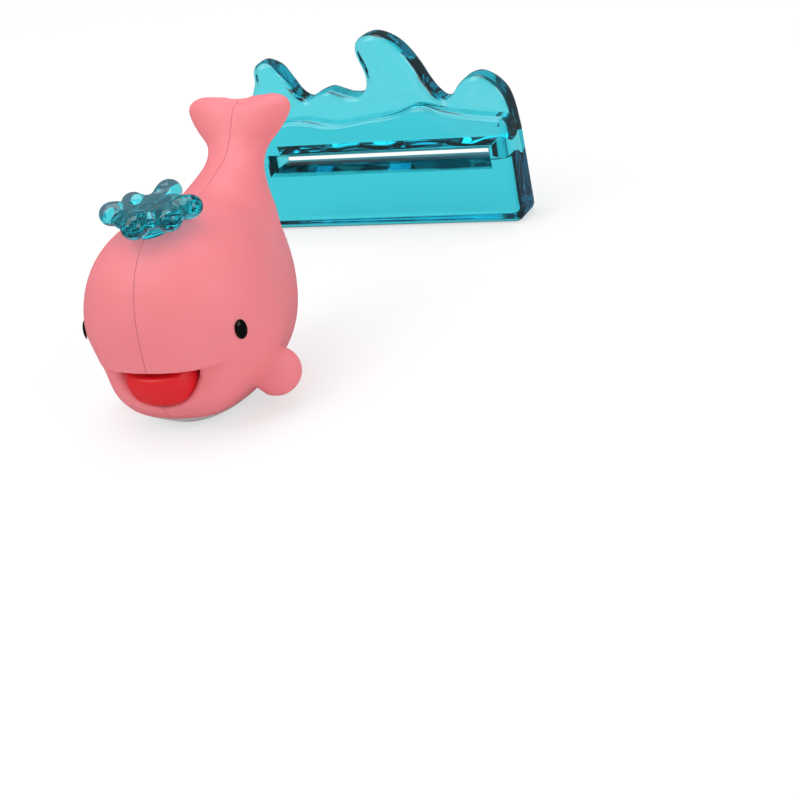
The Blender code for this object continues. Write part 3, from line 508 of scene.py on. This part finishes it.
def tongue_form(name):
    """Cube rounded most of the way to a ball, so that its front reads as a full U."""
    bpy.ops.mesh.primitive_cube_add(size=1)
    flap = added(name)
    bpy.ops.object.mode_set(mode="EDIT")
    bpy.ops.mesh.select_all(action="SELECT")
    bpy.ops.mesh.subdivide(number_cuts=TONGUE_CUTS)
    bpy.ops.transform.tosphere(value=TONGUE_ROUNDNESS)
    bpy.ops.object.mode_set(mode="OBJECT")
    flap.scale = [2 * radius / side for radius, side in zip(TONGUE_RADII, flap.dimensions)]
    flap.location = TONGUE_CENTRE
    select_only(flap)
    bpy.ops.object.transform_apply(location=True, rotation=True, scale=True)
    return flap


def tongue_bead(name, grow=0.0):
    """Round bar that the tongue turns on, set in the groove above the jaw."""
    half, y, z = TONGUE_BEAD_HALF + grow, *TONGUE_PIVOT[1:]
    return bar(name, TONGUE_BEAD_R + grow, (-half, y, z), (half, y, z), vertices=48)


def lip_recess(grow=0.0):
    """Room behind the upper lip for the flap's swing."""
    return box("recess", [value - grow for value in RECESS_LOW],
               [value + grow for value in RECESS_HIGH])


def scoop(grow, top):
    """The mouth's round hollow, cut off level at its top."""
    hollow = ball("scoop", MOUTH_CENTRE, [r + grow for r in MOUTH_RADII], segments=96, rings=64)
    return carve(hollow, box("roof", (-OVERRUN, -OVERRUN, top), (OVERRUN, OVERRUN, OVERRUN)))


def mouth_pocket(grow=0.0):
    return carve(scoop(grow, LIP_Z + grow), lip_recess(grow), operation="UNION")


def brow_weight(co):
    """How far a point of the tongue belongs to its rounded top edge at the front."""
    above = (co.z - TONGUE_BROW_Z + TONGUE_BROW_REACH) / TONGUE_BROW_REACH
    ahead = (TONGUE_BROW_Y - co.y) / TONGUE_BROW_REACH
    return max(0.0, min(1.0, above, ahead))


def tongue():
    """Soft flap on its bead; its top falls forward so that it can swing out under the lip."""
    flap = tongue_form("tongue_flap")
    lid = box("lid", (-OVERRUN, -OVERRUN, TONGUE_TOP_Z), (OVERRUN, OVERRUN, OVERRUN))
    turn(lid, TONGUE_SWING, (0, TONGUE_PIVOT[1], TONGUE_TOP_Z))
    brow = box("brow", (-OVERRUN, -OVERRUN, TONGUE_BROW_Z),
               (OVERRUN, RECESS_LOW[1] + GAP, OVERRUN))
    carve(flap, lid, brow)
    carve(flap, tongue_bead("bead"), operation="UNION")
    moulded(flap, TONGUE_VOXEL, TONGUE_TURNS)
    soften(flap, "brow", brow_weight, TONGUE_BROW_TURNS)
    room = scoop(-TONGUE_ROOM / 2, LIP_Z - TONGUE_ROOM)
    front = box("front", (-OVERRUN, -OVERRUN, -OVERRUN), (OVERRUN, MOUTH_CENTRE[1], LIP_Z - GAP))
    carve(room, front, lip_recess(-GAP / 2), tongue_bead("bead_room", GAP / 2),
          operation="UNION")
    return smooth(carve(flap, room, operation="INTERSECT"), 180)


def under_lip(grow=0.0):
    """What lies between the upper lip's level and the jaw, in front of the head's middle."""
    gap = box("under_lip", (-OVERRUN, -OVERRUN, JAW_CENTRE[2]),
              (OVERRUN, JAW_BACK_Y, LIP_Z + grow))
    return carve(gap, ball("jaw", JAW_CENTRE, [r - grow for r in JAW_RADII], segments=128,
                           rings=96))


def mirrored(piece):
    """Mirror a piece over to the whale's left, with its faces outward again."""
    select_only(piece)
    bpy.ops.transform.mirror(constraint_axis=(True, False, False), orient_type="GLOBAL",
                             center_override=(0, 0, 0))
    bpy.ops.object.transform_apply(location=True, rotation=True, scale=True)
    piece.data.flip_normals()
    return piece


def flipper(side, grow=0.0):
    """Thick rounded paddle, turned out and back from the body's side."""
    out = FIN_OUT.normalized()
    up = (FIN_UP - out * FIN_UP.dot(out)).normalized()
    axes = Matrix((out, up.cross(out), up)).transposed()
    blade = ball("flipper", FIN_CENTRE, [r + grow for r in FIN_RADII], axes)
    return mirrored(blade) if side < 0 else blade


def lip_weight(co):
    """Full along the jaw's front edge, nothing up at the crisp upper lip."""
    if co.y > JAW_BACK_Y or co.z < LIP_FLOOR_Z:
        return 0.0
    return min(1.0, max(0.0, (LIP_Z - LIP_FADE_DROP - co.z) / LIP_FADE))


def root_weight(co):
    """Full where the flippers leave the body, nothing at their tips."""
    place = Vector((abs(co.x), co.y, co.z)) - Vector(FIN_CENTRE)
    along = place.dot(FIN_OUT.normalized())
    if place.length > FIN_ROOT_SPAN or co.z < FIN_ROOT_FLOOR_Z:
        return 0.0
    return min(1.0, max(0.0, (FIN_ROOT_FADE - along) / FIN_ROOT_FADE))


def whale_shell():
    """Whole whale with its hollows cut, one smooth skin, before it is parted on its seams."""
    shell = whale_skin("shell")
    modify(shell, "SUBSURF", levels=2, render_levels=2)
    hollow = whale_skin("hollow", -SKIN_WALL)
    carve(hollow, rear_seat(SKIN_WALL), mouth_pocket(SKIN_WALL), under_lip(SKIN_WALL),
          box("tail_part", (-OVERRUN, SEAT_FRONT_Y, -OVERRUN), (OVERRUN, OVERRUN, OVERRUN)),
          box("outlet_block", (-OUTLET_BLOCK_HALF, -OVERRUN, 0),
              (OUTLET_BLOCK_HALF, OUTLET_BLOCK_BACK_Y, OUTLET_Z + OUTLET_BLOCK_HALF)))
    carve(shell, flipper(-1), flipper(1), operation="UNION")
    carve(shell, hollow, rear_seat(), under_lip(), mouth_pocket(), tongue_bead("groove", GAP),
          box("shelf", (-OVERRUN, -OVERRUN, -OVERRUN), (OVERRUN, OVERRUN, 0)),
          bar("hub_hole", HUB_R + GAP, (0, 0, SEAT_R), (0, OVERRUN, SEAT_R)),
          bar("outlet_bore", OUTLET_R, (0, -OVERRUN, OUTLET_Z), (0, 0, OUTLET_Z)))
    moulded(shell, SKIN_VOXEL, SKIN_TURNS)
    soften(shell, "lower_lip", lip_weight, LIP_TURNS)
    soften(shell, "flipper_roots", root_weight, FIN_ROOT_TURNS)
    return shell


def seam_lap(shell):
    """Lap under the skin along the seam, so that no light comes through between the halves."""
    lap = copy_of(shell, "lap")
    modify(lap, "DISPLACE", strength=-LAP_DEPTH, mid_level=0.0)
    strip = box("strip", (-LAP_ROOT, -OVERRUN, BELLY_TOP_Z + LAP_DEPTH),
                (VISIBLE_SEAM / 4, OVERRUN, 2 * OVERRUN))
    return carve(lap, strip, operation="INTERSECT")


def whale_pieces():
    """Part the whale on its seams: the flippers stay whole with the pink halves."""
    shell = whale_shell()
    seam, edge = VISIBLE_SEAM / 2, BELLY_TOP_Z
    pieces = []
    for side, name in ((-1, "pink_left_half"), (1, "pink_right_half")):
        near, far = sorted((side * seam, side * OVERRUN))
        region = box("region", (near, -OVERRUN, edge + seam), (far, OVERRUN, 2 * OVERRUN))
        carve(region, flipper(side, FIN_PATCH), operation="UNION")
        pieces.append(carve(copy_of(shell, name), region, operation="INTERSECT"))
    carve(pieces[0], seam_lap(shell), operation="UNION")
    # The joined lap leaves a few points twice
    modify(pieces[0], "WELD", merge_threshold=SLIVER / 10)
    below = box("region", (-OVERRUN, -OVERRUN, -OVERRUN), (OVERRUN, OVERRUN, edge - seam))
    carve(below, flipper(-1, FIN_PATCH + VISIBLE_SEAM), flipper(1, FIN_PATCH + VISIBLE_SEAM))
    pieces.append(carve(copy_of(shell, "pale_belly"), below, operation="INTERSECT"))
    bpy.data.objects.remove(shell, do_unlink=True)
    return [smooth(piece) for piece in pieces]


def head_side(y, z):
    """Half width of the head at a height above its middle."""
    share = (1 - ((HEAD_Y - y) / HEAD_REACH) ** HEAD_EXPONENT) ** (1 / HEAD_EXPONENT)
    level = abs(z - HEAD_Z) / (HEAD_RISE * share)
    return HEAD_HALF_WIDTH * share * (1 - level ** UPPER_EXPONENT) ** (1 / UPPER_EXPONENT)


def eye(side):
    """Polished dome set flat on the skin."""
    x, step = head_side(EYE_Y, EYE_Z), SLOPE_STEP
    look = Vector((step, x - head_side(EYE_Y + step, EYE_Z), x - head_side(EYE_Y, EYE_Z + step)))
    look.normalize()
    up = (Vector((0, 0, 1)) - look * look.z).normalized()
    axes = Matrix((up.cross(look), up, look)).transposed()
    dome = ball("eye_dome", (0, 0, 0), EYE_RADII, segments=48, rings=32)
    bpy.ops.object.mode_set(mode="EDIT")
    bpy.ops.mesh.select_all(action="SELECT")
    bpy.ops.mesh.bisect(plane_co=(0, 0, EYE_SUNK), plane_no=(0, 0, -1), use_fill=True,
                        clear_outer=True, threshold=EYE_CUT_MERGE)
    bpy.ops.object.mode_set(mode="OBJECT")
    dome.matrix_world = Matrix.Translation(Vector((x, EYE_Y, EYE_Z)) - look * 2 * EYE_SUNK) \
        @ axes.to_4x4()
    select_only(dome)
    bpy.ops.object.transform_apply(location=True, rotation=True, scale=True)
    return smooth(mirrored(dome) if side < 0 else dome, 50)


def spout():
    """Clear splash of water: round lobes on arms about a dished middle, on a stem."""
    core = ball("water_spout", (0, SPOUT_Y, SPOUT_Z), SPOUT_CORE_RADII)
    for bearing, reach, lift, radius in SPOUT_LOBES:
        away = Vector((cos(bearing), sin(bearing), 0))
        centre = Vector((0, SPOUT_Y, SPOUT_Z + lift)) + away * reach
        lobe = ball("lobe", centre, (radius, radius, SPOUT_LOBE_FLATNESS * radius),
                    segments=48, rings=32)
        arm = bar("arm", SPOUT_ARM_HALF, (0, SPOUT_Y, SPOUT_Z), centre, vertices=32,
                  end_radius=SPOUT_ARM_END_SHARE * radius)
        carve(core, lobe, arm, operation="UNION")
    carve(core, ball("dish", (0, SPOUT_Y, SPOUT_Z + SPOUT_DISH_LIFT), SPOUT_DISH_RADII))
    stem = bar("stem", SPOUT_STEM_R, (0, SPOUT_Y, SPOUT_Z - SPOUT_STEM_DROP),
               (0, SPOUT_Y, SPOUT_Z))
    carve(core, stem, operation="UNION")
    moulded(core, SPOUT_VOXEL, SPOUT_TURNS)
    seat = whale_skin("seat")
    modify(seat, "SUBSURF", levels=2, render_levels=2)
    carve(core, seat)
    return smooth(core, 60)


def outline_points(shares):
    """Smooth outline through a table, from the left foot to the right foot."""
    spans = (len(shares) - 1) * OUTLINE_STEPS
    points = [blend_rows(shares, i / OUTLINE_STEPS) for i in range(spans + 1)]
    return [(x * WAVE_HALF_WIDTH, z * WAVE_HEIGHT) for x, z in points]


def drawn_line(name, points):
    """Pull one vertex from place to place; the line is left open, in edit mode."""
    bpy.ops.object.select_all(action="DESELECT")
    bpy.ops.mesh.primitive_plane_add(size=MM)
    line = added(name)
    bpy.ops.object.mode_set(mode="EDIT")
    bpy.ops.mesh.select_mode(type="VERT")
    bpy.ops.mesh.select_all(action="SELECT")
    bpy.ops.mesh.merge(type="CENTER")
    bpy.ops.transform.translate(value=points[0])
    for before, point in zip(points, points[1:]):
        step = [b - a for a, b in zip(before, point)]
        bpy.ops.mesh.extrude_vertices_move(TRANSFORM_OT_translate={"value": step})
    bpy.ops.mesh.select_all(action="SELECT")
    return line


def drawn_slab(name, shares, front, back):
    """Draw the outline, fill it, pull it to its thickness and round its rims."""
    outline = [(-WAVE_HALF_WIDTH, 0.0)]
    outline += outline_points([row for row in shares if row[1] > 0])
    outline += [(WAVE_HALF_WIDTH, 0.0)]
    slab = drawn_line(name, [(x, front, z) for x, z in outline])
    bpy.ops.mesh.edge_face_add()
    bpy.ops.mesh.extrude_region_move(TRANSFORM_OT_translate={"value": (0, back - front, 0)})
    bpy.ops.mesh.select_all(action="SELECT")
    bpy.ops.mesh.normals_make_consistent(inside=False)
    bpy.ops.object.mode_set(mode="OBJECT")
    return modify(slab, "BEVEL", width=WAVE_ROUND, segments=WAVE_ROUND_STEPS,
                  limit_method="ANGLE", angle_limit=WAVE_ROUND_ANGLE, use_clamp_overlap=False)


def lathed(name, profile):
    """Spin a closed outline of radius and y once round the seat's axis."""
    points = [(radius, y, SEAT_R) for radius, y in profile]
    ring = drawn_line(name, points)
    bpy.ops.mesh.edge_face_add()
    bpy.ops.mesh.delete(type="ONLY_FACE")
    bpy.ops.mesh.select_all(action="SELECT")
    bpy.ops.mesh.spin(steps=LATHE_STEPS, angle=2 * pi, center=(0, 0, SEAT_R), axis=(0, 1, 0))
    bpy.ops.mesh.select_all(action="SELECT")
    bpy.ops.mesh.remove_doubles(threshold=SLIVER)
    bpy.ops.mesh.normals_make_consistent(inside=False)
    bpy.ops.object.mode_set(mode="OBJECT")
    return ring


def collar():
    """Threaded insert behind: chamfered rings, with a thread wound round its bore."""
    insert = modify(lathed("neck_insert", COLLAR_PROFILE), "BEVEL", width=COLLAR_EDGE, segments=3,
                    limit_method="ANGLE", angle_limit=radians(50))
    reach, (start, end) = THREAD_PITCH / 4, THREAD_RUN
    root, crest = COLLAR_BORE_R + THREAD_ROOT, COLLAR_BORE_R - THREAD_DEPTH
    thread = drawn_line("thread", [(root, start - reach, 0), (crest, start, 0),
                                   (root, start + reach, 0)])
    bpy.ops.mesh.edge_face_add()
    bpy.ops.mesh.delete(type="ONLY_FACE")
    bpy.ops.object.mode_set(mode="OBJECT")
    turns = int((end - start) / THREAD_PITCH)
    modify(thread, "SCREW", axis="Y", angle=2 * pi, screw_offset=THREAD_PITCH, iterations=turns,
           steps=THREAD_STEPS, render_steps=THREAD_STEPS)
    bpy.ops.object.mode_set(mode="EDIT")
    for finish in (-1, 1):
        ends = [v.co.y * finish for v in bmesh.from_edit_mesh(thread.data).verts if v.is_boundary]
        last = max(ends) - 3 * reach
        pick_verts(thread, lambda v: v.is_boundary and v.co.y * finish > last)
        bpy.ops.mesh.edge_face_add()
    bpy.ops.mesh.select_all(action="SELECT")
    bpy.ops.mesh.normals_make_consistent(inside=False)
    bpy.ops.transform.translate(value=(0, 0, SEAT_R))
    bpy.ops.object.mode_set(mode="OBJECT")
    return smooth(carve(insert, thread, operation="UNION"), 35)


def slot_cut():
    """Slot right through at the height of the seat's axis, flared towards both faces."""
    half, high = SLOT_HALF_WIDTH, SLOT_HALF_HEIGHT
    cutter = box("slot", (-half, -OVERRUN, SEAT_R - high), (half, 3 * OVERRUN, SEAT_R + high))
    for face, outer in ((WAVE_LIP_Y, -1), (WAVE_BACK_Y, 1)):
        near, far = sorted((face - outer * SLOT_FLARE_DEPTH, face + outer * SLOT_FLARE_DEPTH))
        flare = box("flare", (-half, near, SEAT_R - high), (half, far, SEAT_R + high))
        bpy.ops.object.mode_set(mode="EDIT")
        for axis in (0, 2):
            for side in (-1, 1):
                middle = (0, 0, SEAT_R)[axis]
                pick_verts(flare, lambda v: (v.co.y - face) * outer > 0
                           and (v.co[axis] - middle) * side > 0)
                shift = [0, 0, 0]
                shift[axis] = side * 2 * SLOT_FLARE
                bpy.ops.transform.translate(value=shift)
        bpy.ops.object.mode_set(mode="OBJECT")
        carve(cutter, flare, operation="UNION")
    return cutter


def wave():
    """Clear wave with a low wave in front of it and the flared slot right through."""
    tall = drawn_slab("wave_of_water", WAVE_OUTLINE_SHARES, WAVE_FACE_Y, WAVE_BACK_Y)
    low = drawn_slab("low_wave", LIP_OUTLINE_SHARES, WAVE_LIP_Y,
                     (WAVE_FACE_Y + WAVE_BACK_Y) / 2)
    carve(tall, low, operation="UNION")
    return smooth(carve(tall, slot_cut()), 30)


def linear(hex_colour):
    """An sRGB hex colour as the linear values that a node takes."""
    channels = [int(hex_colour[i:i + 2], 16) / 255 for i in (0, 2, 4)]
    return tuple(c / 12.92 if c <= 0.04045 else ((c + 0.055) / 1.055) ** 2.4
                 for c in channels) + (1.0,)


def add_node(tree, kind, inputs=None, **settings):
    """Add a node with its settings; an input is a value or another node's output."""
    item = tree.nodes.new(kind)
    for key, value in settings.items():
        setattr(item, key, value)
    for socket, value in (inputs or {}).items():
        if isinstance(value, bpy.types.NodeSocket):
            tree.links.new(value, item.inputs[socket])
        else:
            item.inputs[socket].default_value = value
    return item


def start_material(name):
    """A material with nothing but its shader and its output."""
    material = bpy.data.materials.new(name)
    material.use_nodes = True
    tree = material.node_tree
    tree.nodes.clear()
    shader = add_node(tree, "ShaderNodeBsdfPrincipled")
    output = add_node(tree, "ShaderNodeOutputMaterial", {"Surface": shader.outputs["BSDF"]})
    return material, tree, shader, output


def moulded_plastic(name, colour, deep_colour, roughness, grain_mm, grain_depth_mm,
                    subsurface=0.0, specular=0.5):
    """Coloured plastic from a mould: faint clouding of the pigment and a fine eroded grain.

    A real mould's grain is about 0.1 mm; it is drawn coarser, so that it shows.
    """
    material, tree, shader, _ = start_material(name)
    place = add_node(tree, "ShaderNodeTexCoord").outputs["Object"]
    cloud = add_node(tree, "ShaderNodeTexNoise",
                     {"Vector": place, "Scale": 1 / CLOUD_SIZE, "Detail": 2.0})
    tint = add_node(tree, "ShaderNodeMixRGB",
                    {"Fac": cloud.outputs["Fac"], "Color1": linear(colour),
                     "Color2": linear(deep_colour)})
    grain = add_node(tree, "ShaderNodeTexNoise",
                     {"Vector": place, "Scale": 1 / (grain_mm * MM), "Detail": 3.0})
    gloss = add_node(tree, "ShaderNodeMapRange",
                     {"Value": grain.outputs["Fac"], "From Min": 0.3, "From Max": 0.7,
                      "To Min": roughness - GLOSS_SPREAD, "To Max": roughness + GLOSS_SPREAD})
    bump = add_node(tree, "ShaderNodeBump",
                    {"Height": grain.outputs["Fac"], "Strength": 0.5,
                     "Distance": grain_depth_mm * MM})
    tree.links.new(tint.outputs["Color"], shader.inputs["Base Color"])
    tree.links.new(gloss.outputs["Result"], shader.inputs["Roughness"])
    tree.links.new(bump.outputs["Normal"], shader.inputs["Normal"])
    shader.inputs["Subsurface Weight"].default_value = subsurface
    shader.inputs["Subsurface Radius"].default_value = GLOW_RADII
    shader.inputs["Subsurface Scale"].default_value = GLOW_DEPTH
    shader.inputs["Specular IOR Level"].default_value = specular
    return material


def clear_polystyrene(name, colour, deep_colour, density):
    """Clear plastic tinted right through: bright where it is thin, deep in colour where thick."""
    material, tree, shader, output = start_material(name)
    shader.inputs["Base Color"].default_value = linear(colour)
    shader.inputs["Transmission Weight"].default_value = CLEAR_SHARE
    shader.inputs["IOR"].default_value = POLYSTYRENE_IOR
    shader.inputs["Roughness"].default_value = 0.0
    depth = add_node(tree, "ShaderNodeVolumeAbsorption",
                     {"Color": linear(deep_colour), "Density": density})
    tree.links.new(depth.outputs["Volume"], output.inputs["Volume"])
    return material


def pale_floor():
    """Plain floor with the object's shadow, white to the camera further out."""
    bpy.ops.mesh.primitive_plane_add(size=FLOOR_SIZE)
    floor = added("floor")
    material, tree, shader, output = start_material("white_sweep")
    place = add_node(tree, "ShaderNodeTexCoord").outputs["Object"]
    shader.inputs["Base Color"].default_value = linear("F4F4F4")
    shader.inputs["Roughness"].default_value = 0.9
    seen = add_node(tree, "ShaderNodeLightPath")
    glow = add_node(tree, "ShaderNodeEmission", {"Color": (1, 1, 1, 1), "Strength": 1.0})
    either = add_node(tree, "ShaderNodeMath", {0: seen.outputs["Is Camera Ray"],
                                               1: seen.outputs["Is Transmission Ray"]},
                      operation="MAXIMUM")
    amount = add_node(tree, "ShaderNodeMath", {0: either.outputs[0], 1: FLOOR_GLOW_SHARE},
                      operation="MULTIPLY")
    reach = add_node(tree, "ShaderNodeVectorMath", {0: place}, operation="LENGTH")
    far = add_node(tree, "ShaderNodeMapRange", {"Value": reach.outputs["Value"],
                                                "From Min": SWEEP_NEAR, "From Max": SWEEP_FAR},
                   interpolation_type="SMOOTHSTEP")
    lit = add_node(tree, "ShaderNodeMath", {0: amount.outputs[0], 1: far.outputs["Result"]},
                   operation="MAXIMUM")
    mix = add_node(tree, "ShaderNodeMixShader", {0: lit.outputs[0], 1: shader.outputs["BSDF"],
                                                 2: glow.outputs["Emission"]})
    tree.links.new(mix.outputs[0], output.inputs["Surface"])
    floor.data.materials.append(material)
    # Seen in the satin pink, the white floor would lay a grey veil on it
    floor.visible_glossy = False


def white_surround():
    """World that is white to the camera and at a plain level to the object."""
    world = bpy.data.worlds.new("studio_white")
    bpy.context.scene.world = world
    world.use_nodes = True
    tree = world.node_tree
    background = tree.nodes["Background"]
    background.inputs["Color"].default_value = (1, 1, 1, 1)
    seen = add_node(tree, "ShaderNodeLightPath")
    way = add_node(tree, "ShaderNodeTexCoord").outputs["Generated"]
    height = add_node(tree, "ShaderNodeSeparateXYZ", {0: way}).outputs["Z"]
    ceiling = add_node(tree, "ShaderNodeMapRange",
                       {"Value": height, "From Min": CEILING_SHARES[0],
                        "From Max": CEILING_SHARES[1], "To Min": 1.0, "To Max": CEILING_LEVEL},
                       interpolation_type="SMOOTHSTEP")
    clear_way = add_node(tree, "ShaderNodeMath", {0: seen.outputs["Is Transmission Ray"],
                                                  1: ceiling.outputs["Result"]},
                         operation="MULTIPLY")
    through = add_node(tree, "ShaderNodeMath", {0: seen.outputs["Is Camera Ray"],
                                                1: clear_way.outputs[0]}, operation="MAXIMUM")
    shaded = add_node(tree, "ShaderNodeMapRange",
                      {"Value": seen.outputs["Is Glossy Ray"], "To Min": WORLD_LEVEL,
                       "To Max": WORLD_GLOSS_LEVEL})
    level = add_node(tree, "ShaderNodeMath", {0: shaded.outputs["Result"],
                                              1: through.outputs[0]}, operation="MAXIMUM")
    tree.links.new(level.outputs[0], background.inputs["Strength"])


def softboxes():
    """Three soft lamps, all turned towards the middle of the set."""
    for name, place, size, power in SOFTBOXES:
        lamp = bpy.data.lights.new(name, "AREA")
        lamp.shape = "RECTANGLE"
        lamp.size, lamp.size_y = size
        lamp.energy = power
        thing = bpy.data.objects.new(name, lamp)
        thing.location = place
        aim = Vector(LIGHT_AIM) - thing.location
        thing.rotation_euler = aim.to_track_quat("-Z", "Y").to_euler()
        bpy.context.scene.collection.objects.link(thing)


def photo_camera():
    """Camera of the photograph, turned so that the target shows at its pixel."""
    back = Vector((sin(AZIMUTH) * cos(ELEVATION), -cos(AZIMUTH) * cos(ELEVATION), sin(ELEVATION)))
    right = Vector((cos(AZIMUTH), sin(AZIMUTH), 0))
    axes = Matrix.Rotation(ROLL, 3, "Z") @ Matrix((right, back.cross(right), back))
    sight = Vector(((TARGET_PX[0] - CENTRE_PX) / FOCAL_PX, (CENTRE_PX - TARGET_PX[1]) / FOCAL_PX,
                    -1.0)).normalized()
    axes = Vector((0, 0, -1)).rotation_difference(sight).to_matrix() @ axes
    camera = bpy.data.cameras.new("camera")
    camera.lens = camera.sensor_width * FOCAL_PX / (2 * CENTRE_PX)
    holder = bpy.data.objects.new("camera", camera)
    world_axes = axes.transposed()
    holder.matrix_world = Matrix.Translation(Vector(TARGET) - world_axes @ (sight * DISTANCE)) \
        @ world_axes.to_4x4()
    bpy.context.scene.collection.objects.link(holder)
    bpy.context.scene.camera = holder


def studio():
    """Plain pale floor, soft light, and the camera of the photograph."""
    pale_floor()
    white_surround()
    softboxes()
    photo_camera()
    bpy.context.scene.view_settings.view_transform = "Standard"


def clear_slivers(piece):
    """Take out the slivers that a cut leaves between points almost on each other."""
    select_only(piece)
    bpy.ops.object.mode_set(mode="EDIT")
    bpy.ops.mesh.select_mode(type="VERT")
    bpy.ops.mesh.select_all(action="SELECT")
    bpy.ops.mesh.dissolve_degenerate(threshold=SLIVER)
    bpy.ops.object.mode_set(mode="OBJECT")


def put(piece, material, node, rides):
    """Finish a piece, and let it stand for its CAD node on the node's body."""
    clear_slivers(piece)
    piece.data.materials.clear()
    piece.data.materials.append(material)
    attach(piece, rides)
    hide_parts(node)


def dress():
    """Make the materials and every visible piece, and set each piece on its body."""
    # ABS from a lightly eroded mould: satin, with a soft sheen and light that goes a little way in
    pink = moulded_plastic("pink_abs_moulded", "EE878F", "EA7C85", 0.45, 0.35, 0.02, 0.2,
                           specular=0.45)
    # The same ABS in cool white: satin, and quite opaque
    white = moulded_plastic("white_abs_moulded", "DCD9D9", "D4D1D1", 0.4, 0.35, 0.01)
    # Polished ABS: deep black with one small sharp highlight
    black = moulded_plastic("black_abs_polished", "060506", "090708", 0.08, 0.5, 0.0,
                            specular=0.25)
    # Moulded silicone: soft gloss along its edges and a red glow from within
    red = moulded_plastic("red_silicone", "E2161F", "D7141D", 0.36, 0.4, 0.01, 0.2)
    # Moulded polypropylene: warm white and waxy, with hardly a highlight
    pale = moulded_plastic("white_polypropylene", "ECEBE6", "E6E5E0", 0.5, 0.4, 0.01)
    # Moulded silicone for seals: dull and even
    seal = moulded_plastic("grey_silicone", "B9BBBD", "B0B2B4", 0.6, 0.4, 0.01)
    # Clear polystyrene: glassy, its rims dark teal where the eye looks along the moulding
    spout_clear = clear_polystyrene("clear_teal_polystyrene_spout", "82DFE8", "42F1F5", 190.0)
    wave_clear = clear_polystyrene("clear_teal_polystyrene_wave", "AEECF3", "A4F5F8", 270.0)
    left, right, belly = whale_pieces()
    put(left, pink, "body_left", "whale")
    put(right, pink, "body_right", "whale")
    put(belly, white, "belly_base", "whale")
    put(eye(-1), black, "eye_left", "whale")
    put(eye(1), black, "eye_right", "whale")
    put(tongue(), red, "tongue", "tongue")
    splash = spout()
    # Light passes through the clear spout, so it throws no dark shadow on the forehead
    splash.visible_shadow = False
    put(splash, spout_clear, "splash", "whale")
    put(collar(), pale, "neck_collar", "whale")
    put(wave(), wave_clear, "wave_squeezer", "squeezer")
    for node, material in (("neck_gasket", seal), ("feed_duct", pale), ("slit_valve", seal)):
        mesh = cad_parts[node].data
        mesh.materials.clear()
        mesh.materials.append(material)


studio()
dress()
